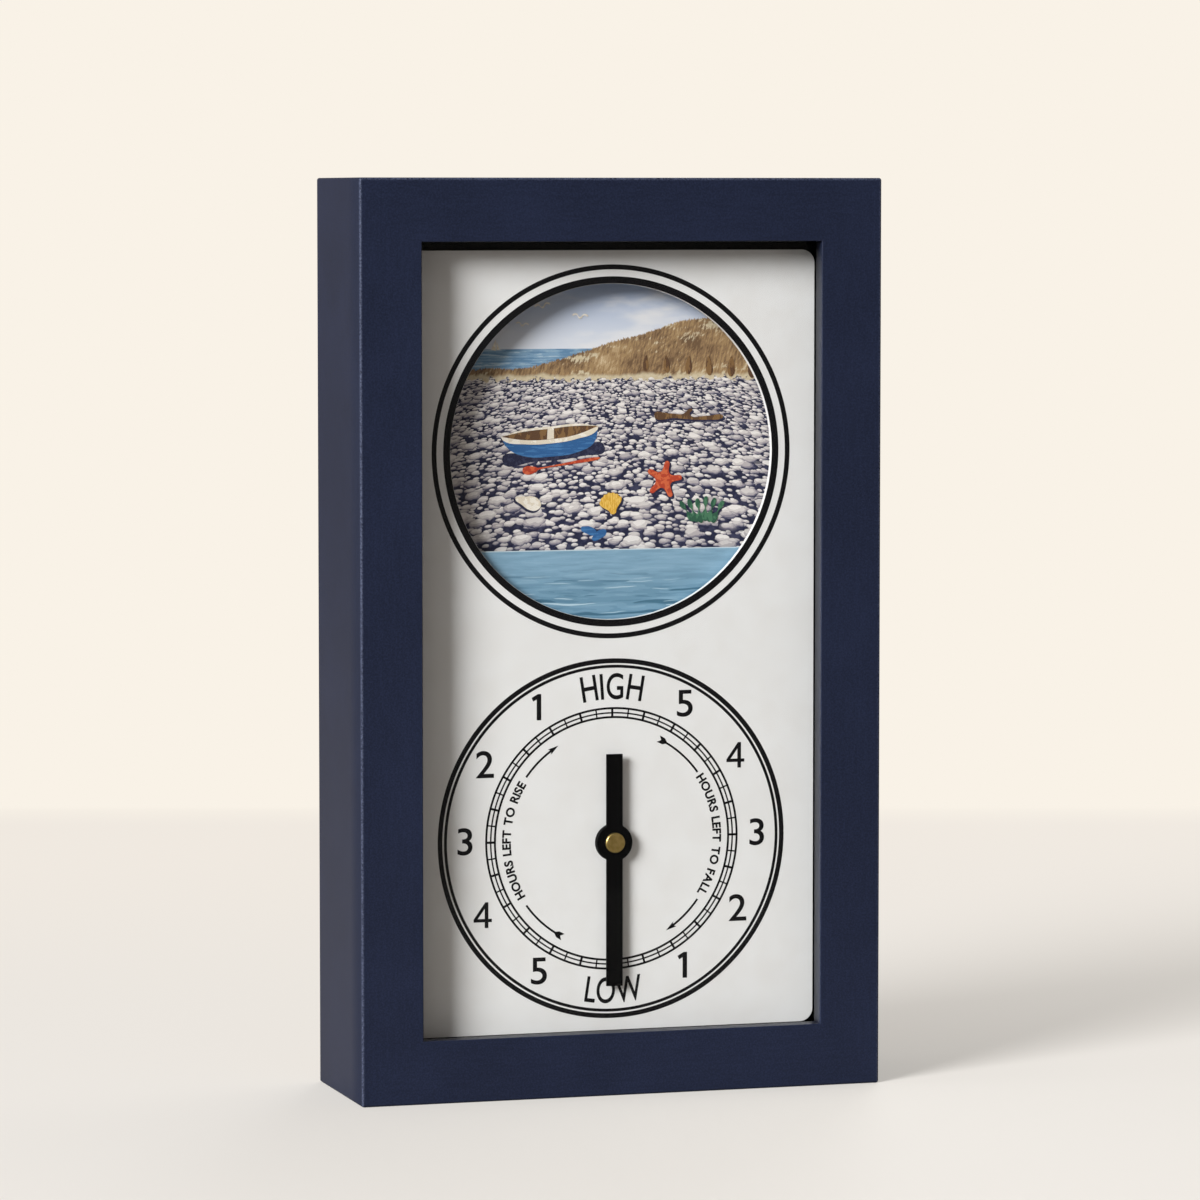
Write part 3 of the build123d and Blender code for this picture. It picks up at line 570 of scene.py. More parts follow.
# %% [markdown]
# ## Panel and its print
# The panel is a warm white sheet with a satin face, and its print is black. The print could be drawn by a
# shader, but thin geometry is easier to lay out and stays crisp from any distance. Each ring is a circle
# whose edge is extruded and scaled to its inner radius; each tick is one plane, spun round the dial as
# copies. The letters are Blender's own font, made a mesh, apart from two figures that are drawn. All of it
# is a few hundredths of a millimetre thick, and the dial sits a little above the axis of the hand.

# %% Panel sheet
panel_colour = tone("e8e9e8")
panel_shade = tone("e4e4e2")
ink_thickness = 0.04 * mm
panel_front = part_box("dial_panel")[0].y
arbor_z = joint_places["hand_turn"][2]
print_rise = 1.1 * mm
dial_z = arbor_z + print_rise
card_above_window = 58.65 * mm
window_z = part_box("scene_card")[1].z - card_above_window


def white_sheet():
    finish = Finish("panel_white")
    mottle = finish.place.noise(90, 4.0, 0.6)
    fleck = finish.place.noise(5200, 1.0, 0.5)
    finish.set(
        base_color=mottle.rises(0.3, 0.75).mix(panel_colour, panel_shade),
        roughness=0.42 + fleck * 0.1,
        specular_ior_level=0.35,
    )
    return finish.relief(fleck, 0.01 * mm, 0.4)


def black_ink():
    finish = Finish("print_black")
    mottle = finish.place.noise(1400, 3.0, 0.6)
    finish.set(
        base_color=mottle.rises(0.3, 0.8).mix(tone("070709"), tone("0e0e12")),
        roughness=0.42 + mottle * 0.15,
        specular_ior_level=0.15,
    )
    return finish


eased("dial_panel", 0.12 * mm, white_sheet(), "case", "panel_white")
ink = black_ink()
print(f"panel front at y {panel_front * 1000:.2f} mm, window centre z {window_z * 1000:.1f} mm")

# %% Rings and arcs
ring_steps = 192
face_front = math.pi / 2


def flat_ring(name, inner, outer, centre_z, sweep=None, base=panel_front, thickness=ink_thickness):
    """A ring on a base, or the arc of it within a sweep of angles, clockwise in degrees from the top."""
    bpy.ops.object.select_all(action="DESELECT")
    front = base - thickness
    bpy.ops.mesh.primitive_circle_add(
        vertices=ring_steps, radius=outer, location=(0, front, centre_z), rotation=(face_front, 0, 0)
    )
    ring = newest(name)
    bpy.ops.object.mode_set(mode="EDIT")
    bpy.ops.mesh.select_all(action="SELECT")
    bpy.ops.mesh.extrude_edges_move()
    share = inner / outer
    bpy.ops.transform.resize(value=(share, share, share), center_override=(0, front, centre_z))
    bpy.ops.object.mode_set(mode="OBJECT")
    settle(ring)
    if sweep:
        keep_sweep(ring, centre_z, sweep)
    thicken(ring, thickness)
    return ring


def keep_sweep(ring, centre_z, sweep):
    """Deletes the faces of a ring outside a sweep of angles."""
    for face in ring.data.polygons:
        angle = math.degrees(math.atan2(face.center.x, face.center.z - centre_z)) % 360
        face.select = not sweep[0] <= angle <= sweep[1]
    bpy.ops.object.mode_set(mode="EDIT")
    bpy.ops.mesh.select_mode(type="FACE")
    bpy.ops.mesh.delete(type="FACE")
    bpy.ops.mesh.select_mode(type="VERT")
    bpy.ops.object.mode_set(mode="OBJECT")


def thicken(piece, thickness=ink_thickness):
    """Extrudes a flat print back to its base."""
    select_only(piece)
    bpy.ops.object.mode_set(mode="EDIT")
    bpy.ops.mesh.select_all(action="SELECT")
    bpy.ops.mesh.extrude_region_move(TRANSFORM_OT_translate={"value": (0, thickness, 0)})
    bpy.ops.mesh.select_all(action="SELECT")
    bpy.ops.mesh.normals_make_consistent(inside=False)
    bpy.ops.object.mode_set(mode="OBJECT")


def rings(name, centre_z, **radii):
    """Printed rings about one centre, each by its inner and outer radius in millimetres."""
    parts = [flat_ring(part, inner * mm, outer * mm, centre_z) for part, (inner, outer) in radii.items()]
    finish_piece(joined(name, parts), ink, "case", "panel_white")


rings("window_rings", window_z, window_band=(55.98, 58.3), window_line=(60.6, 62.25))
rings(
    "dial_rings",
    dial_z,
    dial_band=(58.85, 60.45),
    dial_line=(57.3, 58.3),
    track_outer=(43.42, 44.12),
    track_middle=(41.97, 42.47),
    track_inner=(40.42, 41.12),
)

# %% Ticks
tick_inner = 40.6 * mm
tick_outer = 44.0 * mm
tick_count = 24


def turn_about_dial(piece, degrees):
    """Turns a piece clockwise about the middle of the dial."""
    angle = math.radians(degrees)
    piece.rotation_euler = (0, angle, 0)
    piece.location = (-dial_z * math.sin(angle), 0, dial_z * (1 - math.cos(angle)))
    settle(piece)


def ticks(name, width, first):
    """Radial ticks round the dial, the first at an angle in degrees from the top."""
    bpy.ops.object.select_all(action="DESELECT")
    front = panel_front - ink_thickness
    bpy.ops.mesh.primitive_plane_add(size=1, location=(0, front, dial_z), rotation=(face_front, 0, 0))
    tick = newest(name)
    tick.scale = (width, tick_outer - tick_inner, 1)
    settle(tick)
    bpy.ops.object.mode_set(mode="EDIT")
    bpy.ops.mesh.select_all(action="SELECT")
    bpy.ops.transform.translate(value=(0, 0, (tick_inner + tick_outer) / 2))
    bpy.ops.mesh.spin(
        steps=tick_count, dupli=True, angle=2 * math.pi, center=(0, front, dial_z), axis=(0, 1, 0)
    )
    bpy.ops.object.mode_set(mode="OBJECT")
    turn_about_dial(tick, first)
    merge_doubles(tick, outward=False)
    thicken(tick)
    return tick


half_step = 180 / tick_count
all_ticks = [ticks("thick_ticks", 0.75 * mm, 0.0), ticks("thin_ticks", 0.48 * mm, half_step)]
finish_piece(joined("dial_ticks", all_ticks), ink, "case", "panel_white")

# %% Outlines on the panel
curve_steps = 6


def polar(radius, degrees, centre_z=dial_z):
    """The (x, z) place at a radius and a clockwise angle from above a centre."""
    angle = math.radians(degrees)
    return (radius * math.sin(angle), centre_z + radius * math.cos(angle))


def add_outline(curve, outline, sharp):
    """Adds a closed spline through points in millimetres, rounded except at the sharp ones."""
    spline = curve.splines.new("BEZIER")
    spline.bezier_points.add(len(outline) - 1)
    for knot, (across, up) in zip(spline.bezier_points, outline):
        knot.co = (across * mm, up * mm, 0)
        knot.handle_left_type = "VECTOR" if (across, up) in sharp else "AUTO"
        knot.handle_right_type = knot.handle_left_type
    spline.use_cyclic_u = True


def flat_patch(
    name, outline, place, turn=0.0, base=panel_front, thickness=ink_thickness, sharp=None, hole=None
):
    """A flat shape from an outline in millimetres. All its corners are sharp, unless some are named."""
    curve = bpy.data.curves.new(name, "CURVE")
    curve.dimensions = "2D"
    curve.fill_mode = "BOTH"
    curve.extrude = thickness / 2
    curve.resolution_u = 1 if sharp is None else curve_steps
    add_outline(curve, outline, outline if sharp is None else sharp)
    if hole:
        add_outline(curve, hole, hole)
    piece = bpy.data.objects.new(name, curve)
    bpy.context.scene.collection.objects.link(piece)
    piece.location = (place[0], base - thickness / 2, place[1])
    piece.rotation_euler = (face_front, math.radians(turn), 0)
    select_only(piece)
    bpy.ops.object.convert(target="MESH")
    settle(piece)
    merge_doubles(piece)
    return piece


print(f"outlines are drawn on the panel at y {panel_front * 1000:.2f} mm")

# %% Letters
space_share = 0.35


def letter_size(letter, size):
    """The width and the height of a letter in Blender's font at a size."""
    bpy.ops.object.select_all(action="DESELECT")
    bpy.ops.object.text_add()
    text = bpy.context.object
    text.data.body = letter
    text.data.size = size
    bpy.context.view_layer.update()
    width, height, _ = text.dimensions
    bpy.ops.object.delete()
    return width, height


def glyph(letter, height, place, turn, width, weight):
    """One letter with its base line at a place on the panel, turned clockwise in degrees."""
    bpy.ops.object.select_all(action="DESELECT")
    bpy.ops.object.text_add(
        location=(place[0], panel_front - ink_thickness / 2, place[1]),
        rotation=(face_front, math.radians(turn), 0),
    )
    text = newest(f"glyph_{letter}")
    text.data.body = letter
    text.data.align_x = "CENTER"
    text.data.size = height / cap_share
    text.data.extrude = ink_thickness / 2
    text.data.offset = weight
    text.data.resolution_u = curve_steps
    text.scale = (width, 1, 1)
    bpy.ops.object.convert(target="MESH")
    return bpy.context.object


def width_of(letter, height, width):
    """The room that a letter or a space takes in a word."""
    return height * space_share if letter == " " else letter_size(letter, height / cap_share)[0] * width


def arc_word(word, height, base_radius, middle, gap, width, weight, below=False):
    """Letters along an arc about the dial: heads outward, or inward where the word stands below."""
    widths = [width_of(letter, height, width) for letter in word]
    total = sum(widths) + gap * (len(word) - 1)
    side = -1 if below else 1
    reach = -total / 2
    letters = []
    for letter, wide in zip(word, widths):
        turn = middle + side * math.degrees((reach + wide / 2) / base_radius)
        reach += wide + gap
        if letter == " ":
            continue
        place = polar(base_radius, turn)
        letters.append(glyph(letter, height, place, turn + (180 if below else 0), width, weight))
    return letters


cap_share = letter_size("H", 1.0)[1]
print(f"a capital is {cap_share:.3f} of the size of its font")

# %% Numerals
numeral_height = 8.75 * mm
numeral_radius = 51.0 * mm
numeral_lift = 0.6 * mm
numeral_width = 1.08
numeral_weight = 0.09 * mm
hour_step = 30
figure_one = [
    (0.8, 0), (0.8, 8.75), (-0.35, 8.75), (-2.55, 7.5), (-1.95, 6.3), (-0.75, 7.0), (-0.75, 0),
]
figure_four = [
    (1.1, 0.8), (1.1, 2.75), (2.3, 2.75), (2.3, 3.85), (1.1, 3.85), (1.1, 9.4),
    (0.05, 9.4), (-4.0, 3.7), (-4.0, 2.75), (-0.15, 2.75), (-0.15, 0.8),
]
four_hole = [(-0.15, 3.85), (-0.15, 7.25), (-2.6, 3.85)]


def numeral(figure, hour_angle):
    """An upright figure at its hour. The one and the four are drawn, because the font's are too thin."""
    x, middle = polar(numeral_radius, hour_angle)
    foot = (x, middle - numeral_height / 2 + numeral_lift)
    if figure == "1":
        return flat_patch("glyph_1", figure_one, foot)
    if figure == "4":
        return flat_patch("glyph_4", figure_four, foot, hole=four_hole)
    return glyph(figure, numeral_height, foot, 0.0, numeral_width, numeral_weight)


def print_on_panel(name, parts):
    """Joins letters or other shapes into one printed piece."""
    piece = joined(name, parts)
    merge_doubles(piece)
    finish_piece(piece, ink, "case", "panel_white")


figures = []
for hour in range(1, 6):
    for start in (0, 180):
        figures.append(numeral(str(6 - hour), start + hour_step * hour))
print_on_panel("dial_numerals", figures)

# %% Words and captions
word_height = 8.4 * mm
word_base = 46.9 * mm
word_gap = 1.0 * mm
word_weight = 0.11 * mm
high_width = 0.74
low_width = 0.70
low_angle = 179.7
caption_height = 2.75 * mm
caption_base = 35.4 * mm
caption_gap = 0.4 * mm
caption_weight = 0.145 * mm
rise_angle = 270.5
fall_angle = 89.3


def caption(words, angle):
    return arc_word(words, caption_height, caption_base, angle, caption_gap, 1.0, caption_weight)


high = arc_word("HIGH", word_height, word_base, 0, word_gap, high_width, word_weight)
low_base = word_base + word_height
low = arc_word("LOW", word_height, low_base, low_angle, word_gap, low_width, word_weight, below=True)
print_on_panel("dial_words", high + low)
captions = caption("HOURS LEFT TO RISE", rise_angle) + caption("HOURS LEFT TO FALL", fall_angle)
print_on_panel("dial_captions", captions)

# %% Arrows
arrow_radius = 36.8 * mm
arrow_line = 0.70 * mm
arrow_head = [(2.3, 0), (-1.4, 1.0), (-0.6, 0), (-1.4, -1.0)]
arrow_feather = [(2.0, 0), (0.5, 1.1), (-1.6, 1.2), (-0.5, 0), (-1.6, -1.2), (0.5, -1.1)]


def arrow(feather, tail_end, neck_start, head):
    """A clockwise arrow by its angles, with room for a caption between its tail and its neck."""
    inner = arrow_radius - arrow_line / 2
    outer = arrow_radius + arrow_line / 2
    return [
        flat_ring("arrow_tail", inner, outer, dial_z, (feather, tail_end)),
        flat_ring("arrow_neck", inner, outer, dial_z, (neck_start, head)),
        flat_patch("arrow_feather", arrow_feather, polar(arrow_radius, feather), feather),
        flat_patch("arrow_head", arrow_head, polar(arrow_radius, head), head),
    ]


fall_arrow = arrow(feather=28.5, tail_end=55.3, neck_start=125.3, head=145.6)
rise_arrow = arrow(feather=210.4, tail_end=235.2, neck_start=305.5, head=325.8)
print_on_panel("dial_arrows", fall_arrow + rise_arrow)

# %% [markdown]
# ## Hand
# The hand is blacked metal with a satin coat. Its edges are eased just enough to draw a thin line of light,
# and the brass cap over the arbor is turned, so its fine marks run in rings. The rings could be cut into
# the mesh, but they are finer than any view shows, so a bump by the distance from the axis stands for them.

# %% Black hand and brass
lathe_pitch = 52000.0


def satin_black():
    finish = Finish("satin_black")
    mottle = finish.place.noise(900, 3.0, 0.6)
    fleck = finish.place.noise(4200, 1.0, 0.5).rises(0.70, 0.74)
    finish.set(
        base_color=fleck.mix(tone("030304"), tone("161619")),
        roughness=0.40 + mottle * 0.18,
        specular_ior_level=0.04,
    )
    return finish.relief(mottle, 0.02 * mm, 0.4)


def turned_brass():
    """Brass with the marks of the lathe in rings about the dial axis."""
    finish = Finish("turned_brass")
    x, _, z = finish.place.axes()
    across = z - arbor_z
    radius = (x * x + across * across).math("SQRT")
    marks = (radius * lathe_pitch).math("SINE") * 0.5 + 0.5
    tarnish = finish.place.noise(420, 4.0, 0.6)
    finish.set(
        base_color=tarnish.rises(0.3, 0.75).mix(tone("c4ab6c"), tone("a68e50")),
        metallic=1.0,
        roughness=0.26 + tarnish * 0.14,
    )
    return finish.relief(marks, 0.006 * mm, 0.35)


hand_black = satin_black()
brass = turned_brass()
eased("tide_hand", 0.14 * mm, hand_black, "hand", "black_hand")
eased("hand_collar", 0.1 * mm, hand_black, "hand", "black_hand")
eased("hand_cap", 0.08 * mm, brass, "hand", "brass")

# %% [markdown]
# ## Glass
# A pane is almost nothing but its reflection. Picture glass is coated, so its two faces mirror less than a
# percent of the light face on, and more at a slant. A mirror whose alpha is that share gives the same look
# as a clear solid, without the noise of light bent through it.

# %% Clear glass
least_mirrored = 0.006
slant_mirrored = 0.7
slant_power = 5.0


def clear_glass():
    finish = Finish("clear_glass")
    slant = finish.place.node("ShaderNodeLayerWeight", None, {"Blend": 0.5}, output=1)
    share = slant.math("POWER", slant_power) * slant_mirrored + least_mirrored
    smear = finish.place.noise(35, 3.0, 0.5)
    finish.set(
        base_color=(0.93, 0.97, 0.95, 1.0),
        metallic=1.0,
        roughness=0.015 + smear * 0.03,
        alpha=share,
    )
    return finish


def dress(finish, *names):
    """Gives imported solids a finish, with their shape as it is."""
    for name in names:
        nodes[name].data.materials.clear()
        nodes[name].data.materials.append(finish.material)
    print(f"{finish.material.name}: {', '.join(names)}")


dress(clear_glass(), "glass_pane")

# %% [markdown]
# ## Picture card
# Behind the window stands a printed picture. An image could be wrapped on the card, but patterns need no
# file and stay sharp: a sky with thin cloud, a strip of sea, a dune with dry grass, and a beach of stones.
# Each layer of stones is a Voronoi pattern whose scale grows towards the viewer; a stone is the part of a
# cell near its middle, and smaller stones fill the gaps. Ramps with steps give the flat tones of a print.

# %% Stones and grass
beach_top = 238.0
stone_small = 1.45
stone_growth = 0.047
stone_flatness = 0.62
stone_layers = ((2.3, 0.9), (1.35, 0.8), (0.8, 0.55))
stone_tones = [
    (0.0, "2b2e4a"), (0.24, "5d5c70"), (0.38, "908b94"),
    (0.52, "b7b1b2"), (0.68, "d3cecb"), (0.86, "e9e5e1"),
]
grass_tones = [(0.0, "6f573f"), (0.50, "8b7051"), (0.56, "a1855f"), (0.63, "b79d77"), (0.70, "cdb997")]


def strokes(place, turn, length, scale):
    """Noise drawn out into strokes that lean by an angle in degrees."""
    leaning = place.node(
        "ShaderNodeMapping",
        {"vector_type": "TEXTURE"},
        {"Vector": place, "Rotation": (0, math.radians(turn), 0), "Scale": (1, 1, length)},
    )
    return leaning.noise(scale, 3.0, 0.62)


def stone_layer(wobble, across, along, fineness, share):
    """Rounded stones in a share of the cells of a grid: where they lie, and how light they are."""
    grid_x = across * (stone_flatness * fineness) + wobble * 0.35
    grid_y = along * fineness + wobble * 0.3
    grid = across.node("ShaderNodeCombineXYZ", None, {"X": grid_x, "Y": grid_y})
    values = {"Vector": grid, "Scale": 1.0, "Randomness": 0.9}
    cell = grid.node("ShaderNodeTexVoronoi", {"voronoi_dimensions": "2D"}, values)
    outputs = cell.socket.node.outputs
    middle = Wire(outputs["Position"])
    offset = grid.node("ShaderNodeVectorMath", {"operation": "SUBTRACT"}, {0: grid, 1: middle})
    aside, below, _ = offset.axes()
    luck, shine, chance = Wire(outputs["Color"]).axes()
    round_reach = (aside * aside + below * below * (1.1 + luck * 0.7)).math("SQRT")
    reach = round_reach + (wobble - 0.5) * 0.22
    radius = 0.36 + luck * 0.2
    lies = (radius - reach).rises(0.0, 0.05) * (share - chance).rises(0.0, 0.01)
    light = 0.72 - below * 0.85 - aside * 0.2 + (shine - 0.5) * 0.45 - reach.rises(0.2, 0.62) * 0.32
    return lies, light


def stones(finish, across, up):
    """Beach stones, small at the top of the beach and larger towards the water."""
    down = beach_top - up
    size = stone_small + down.math("MAXIMUM", -6.0) * stone_growth
    along = size.math("LOGARITHM", math.e) / stone_growth
    wobble = finish.place.noise(420, 2.0, 0.5)
    ground = wobble.rises(0.45, 0.7).mix(tone("20233d"), tone("3d3f58"))
    for fineness, share in stone_layers:
        lies, light = stone_layer(wobble, across / size, along, fineness, share)
        ground = lies.mix(ground, light.flat_tones(*stone_tones))
    return ground


def dune_grass(finish):
    """Dry grass in leaning strokes, with sweeps of bare sand between the tufts."""
    blades = strokes(finish.place, 14, 6.0, 1500)
    windswept = strokes(finish.place, 48, 5.0, 1200)
    tuft = finish.place.scaled(1, 1, 1.6).noise(75, 3.0, 0.55)
    dry = blades * 0.45 + windswept * 0.25 + tuft * 0.45
    sand_tone = finish.place.noise(900, 3.0, 0.6).rises(0.3, 0.8)
    sand = sand_tone.mix(tone("d2c5a8"), tone("c4b492"))
    sweep = finish.place.scaled(1, 1, 3.4).noise(52, 3.0, 0.55)
    bare = (sweep + (blades - 0.5) * 0.30 + (windswept - 0.5) * 0.30).rises(0.57, 0.64)
    return bare.mix(dry.flat_tones(*grass_tones), sand), sand


print(f"{len(stone_layers)} layers of stones below {beach_top} mm")

# %% Beach picture
sky_fade = (244, 274)
horizon = 248.2
ridge_foot = 241.5
ridge_climb = 17
ridge_span = (-38, 40)


def beach_picture():
    finish = Finish("picture_card")
    x, _, z = finish.place.axes()
    across = x * 1000
    up = z * 1000
    cloud = finish.place.scaled(1, 1, 2.8).noise(34, 4.0, 0.55).rises(0.46, 0.7)
    clear_sky = up.rises(*sky_fade).mix(tone("d9dee6"), tone("9fb2d0"))
    sky = (cloud * 0.8).mix(clear_sky, tone("e8e8e8"))
    swell = finish.place.scaled(1, 1, 12).noise(120, 3.0, 0.6)
    sea = swell.flat_tones((0.35, "6288a8"), (0.46, "7d9fba"), (0.58, "a5bdcc"))
    distance = (horizon - up).rises(0.0, 0.25).mix(sky, sea)
    along = finish.place.scaled(1, 0, 0)
    blades = finish.place.scaled(1, 0, 0.35).noise(1700, 2.0, 0.7)
    hills = (along.noise(30, 1.0, 0.5) - 0.5) * 9
    ridge = ridge_foot + across.rises(*ridge_span) * ridge_climb + hills + (blades - 0.5) * 3.0
    grass, sand = dune_grass(finish)
    land = (ridge - up).rises(0.0, 0.4).mix(distance, grass)
    foot = beach_top + 2.0 + (along.noise(110, 3.0, 0.6) - 0.5) * 5
    shore = (foot - up).rises(0.0, 1.5).mix(land, sand)
    scatter = (finish.place.noise(420, 2.0, 0.6) - 0.5) * 6
    picture = (beach_top - up + scatter).rises(-0.2, 0.4).mix(shore, stones(finish, across, up))
    grain = finish.place.noise(5000, 1.0, 0.5)
    finish.set(base_color=picture, roughness=0.5 + grain * 0.15, specular_ior_level=0.3)
    return finish


dress(beach_picture(), "scene_card")

# %% [markdown]
# ## Things on the beach
# A rowing boat, a starfish, shells, weed, driftwood and posts lie on the picture, with gulls and a sail
# above them. They could be shader patterns too, but an outline is easier to shape, so they are thin printed
# shapes, one object for each ink. An outline is a list of points in millimetres, drawn as one closed curve;
# later layers of ink lie on earlier ones.

# %% Outlines of the boat
boat_tips = [(-17, 4.5), (17, 4.8)]
hull = [
    (-17, 4.5), (-15, 0.5), (-10, -2.6), (0, -3.8), (10, -3.0),
    (15, -0.6), (17, 4.8), (9, 2.6), (0, 2.0), (-9, 2.6),
]
sheer = [
    (-17, 4.5), (-16.4, 3.2), (-9, 1.2), (0, 0.6), (9, 1.2),
    (16.4, 3.4), (17, 4.8), (9, 2.6), (0, 2.0), (-9, 2.6),
]
inside = [(-17, 4.5), (-9, 5.4), (0, 5.5), (9, 5.6), (17, 4.8), (9, 2.6), (0, 2.0), (-9, 2.6)]
rim = [(-17, 4.5), (-9, 6.1), (0, 6.2), (9, 6.3), (17, 4.8), (9, 5.6), (0, 5.5), (-9, 5.4)]
bench = [(-1.2, 2.1), (1.2, 2.1), (1.5, 5.5), (-0.7, 5.5)]
oar = [
    (-14, 0.3), (-13.4, 1.3), (-9.6, 0.9), (-8.6, 0.4), (13, 0.3),
    (13, -0.3), (-8.6, -0.3), (-9.6, -0.9), (-13.4, -0.9),
]
shade_spot = [(-18, 0), (-9, 1.6), (6, 1.8), (18, 0.4), (10, -1.4), (-6, -1.6)]
sail = [(-0.1, 0), (-0.1, 3.6), (-1.7, 0.3)]
jib = [(0.2, 0.2), (0.2, 3.0), (1.3, 0.3)]
sharp_points = boat_tips + bench + sail + jib
print(f"hull of {len(hull)} points, {len(sharp_points)} points are sharp")

# %% Outlines of shells, wood, weed and gulls
mussel = [(-2.8, 0.0), (-1.4, 1.2), (1.0, 1.5), (2.8, 0.6), (2.4, -0.8), (0.2, -1.1)]
whelk = [
    (-4.6, 0.2), (-3.0, 1.2), (-1.4, 1.7), (0.6, 2.4), (3.0, 2.2),
    (4.6, 0.4), (3.6, -1.6), (1.0, -2.2), (-1.6, -1.4),
]
post = [(-0.55, 0), (-0.45, 6.4), (0.15, 6.9), (0.5, 6.2), (0.6, 0)]
wood = [
    (-12, -0.6), (-6, 0.5), (-2, 0.7), (0.5, 2.8), (1.2, 2.6), (0.4, 0.9),
    (6, 0.8), (12, 1.6), (12.2, 0.9), (6, -0.5), (-4, -0.9),
]
weed_blade = [
    (-0.5, 0), (-1.3, 2.2), (-0.4, 4.2), (-1.2, 6.4), (-0.2, 8.2),
    (0.4, 6.2), (-0.1, 4.2), (0.9, 2.0), (0.5, 0),
]
wing = [
    (-2.6, 0.4), (-1.4, 1.2), (0.0, 0.1), (1.5, 1.3), (2.8, 0.6), (1.5, 0.8), (0.1, -0.5), (-1.3, 0.7),
]


def star(arms, tip, waist):
    """A rounded star outline."""
    points = []
    for step in range(2 * arms):
        angle = math.pi * step / arms
        radius = waist if step % 2 else tip
        points.append((radius * math.sin(angle), radius * math.cos(angle)))
    return points


def fan(radius, ribs):
    """A scallop outline: a hinge below and a ribbed edge above."""
    points = [(-0.9, -radius * 0.75), (-1.2, -radius * 0.55)]
    for step in range(2 * ribs + 1):
        angle = math.radians(-80 + 160 * step / (2 * ribs))
        reach = radius * (1.0 if step % 2 else 0.93)
        points.append((reach * math.sin(angle), reach * math.cos(angle) * 0.95))
    return points + [(1.2, -radius * 0.55), (0.9, -radius * 0.75)]


starfish = star(5, 6.4, 2.8)
scallop = fan(4.2, 7)
print(f"starfish of {len(starfish)} points, scallop of {len(scallop)}")

# %% Inks
card_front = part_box("scene_card")[0].y
ink_step = 0.004 * mm


def printed(name, first, second, scale, stretch=(1, 1, 1)):
    """Two flat tones of one ink."""
    finish = Finish(name)
    pattern = finish.place.scaled(*stretch).noise(scale, 3.0, 0.6)
    grain = finish.place.noise(5000, 1.0, 0.5)
    finish.set(
        base_color=pattern.flat_tones((0.0, first), (0.52, second)),
        roughness=0.5 + grain * 0.15,
        specular_ior_level=0.3,
    )
    return finish


def print_shapes(name, finish, layer, shapes):
    """Joins shapes of one ink: each an outline, its (x, z) place in metres and its turn in degrees."""
    patches = []
    for number, (outline, place, turn) in enumerate(shapes):
        base = card_front - layer * ink_thickness - number * ink_step
        patches.append(flat_patch(name, outline, place, turn, base, sharp=sharp_points))
    finish_piece(joined(name, patches), finish, "case", "picture_card")


def grown(outline, scale):
    return [(across * scale, up * scale) for across, up in outline]


def spot(x, z):
    return (x * mm, z * mm)


print(f"each shape lies {ink_step * 1000:.3f} mm on the one before")

# %% Printed things
boat = spot(-19, 216)
boat_turn = -5
posts = []
weed = []
for step in range(6):
    post_spot = spot(14 + 7.5 * step, 240.5 - 0.5 * step)
    posts.append((grown(post, 0.75 + 0.05 * step), post_spot, 3 * (-1) ** step))
    weed.append((weed_blade, spot(31 + 1.3 * step, 190 - 0.3 * (step % 3)), -34 + 13 * step))

print_shapes(
    "print_shade",
    printed("ink_shade", "23263f", "343750", 700),
    0,
    [
        (shade_spot, (boat[0] + 1 * mm, boat[1] - 3.2 * mm), boat_turn),
        (star(5, 6.6, 2.9), spot(21.0, 203.4), 12),
        (grown(scallop, 1.05), spot(2.6, 195.4), -14),
        (grown(wood, 1.02), spot(29.5, 224.3), 6),
        (grown(whelk, 1.05), spot(-27.4, 196.4), 18),
    ],
)
print_shapes(
    "print_blue",
    printed("ink_blue", "2f5f94", "4377ab", 500, (0.3, 1, 3)),
    1,
    [
        (hull, boat, boat_turn),
        (mussel, spot(-6, 187.2), 20),
        (mussel, spot(-2.2, 185.6), -32),
    ],
)
print_shapes(
    "print_brown",
    printed("ink_brown", "5d432f", "82633f", 600, (1, 1, 0.3)),
    2,
    [(inside, boat, boat_turn), (wood, spot(29, 225), 6)] + posts,
)
print_shapes(
    "print_cream",
    printed("ink_cream", "e2d8c4", "f0eadd", 500),
    3,
    [
        (sheer, boat, boat_turn),
        (rim, boat, boat_turn),
        (bench, boat, boat_turn),
        (whelk, spot(-27, 197), 18),
        (wing, spot(-22, 262), -8),
        (wing, spot(-9, 258.5), 6),
        (grown(wing, 0.8), spot(-29, 256), 10),
        (sail, spot(-38, 247.6), 0),
        (jib, spot(-38, 247.6), 0),
    ],
)
print_shapes(
    "print_red",
    printed("ink_red", "b5432c", "d0653f", 600),
    4,
    [(starfish, spot(20.4, 204), 12), (oar, spot(-15, 209.5), -9)],
)
print_shapes(
    "print_yellow",
    printed("ink_yellow", "d9a63a", "ebc465", 900, (3, 1, 0.6)),
    4,
    [(scallop, spot(2, 196), -14)],
)
print_shapes("print_green", printed("ink_green", "2f5a45", "47775a", 700, (1, 1, 0.4)), 4, weed)

# %% [markdown]
# ## Water sheet
# The sheet is printed with flat strokes of blue that grow towards its foot, and has a pale line of foam
# along its top. Waves could be modelled, but a printed sheet is flat. Its pattern is tied to the sheet by
# Object coordinates, so the waves travel with it as the tide rises.

# %% Painted water
water_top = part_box("water_sheet")[1].z * 1000
wave_growth = 0.045
wave_stretch = 0.075
wave_pitch = 0.85
wave_bend = 1.6
wave_tones = [(0.0, "5f879f"), (0.40, "6b93ab"), (0.50, "759cb4"), (0.60, "81a6bc")]
trough_level = 0.63
glint_level = 0.67
haze = 0.45
haze_depth = (5.0, 14.0)


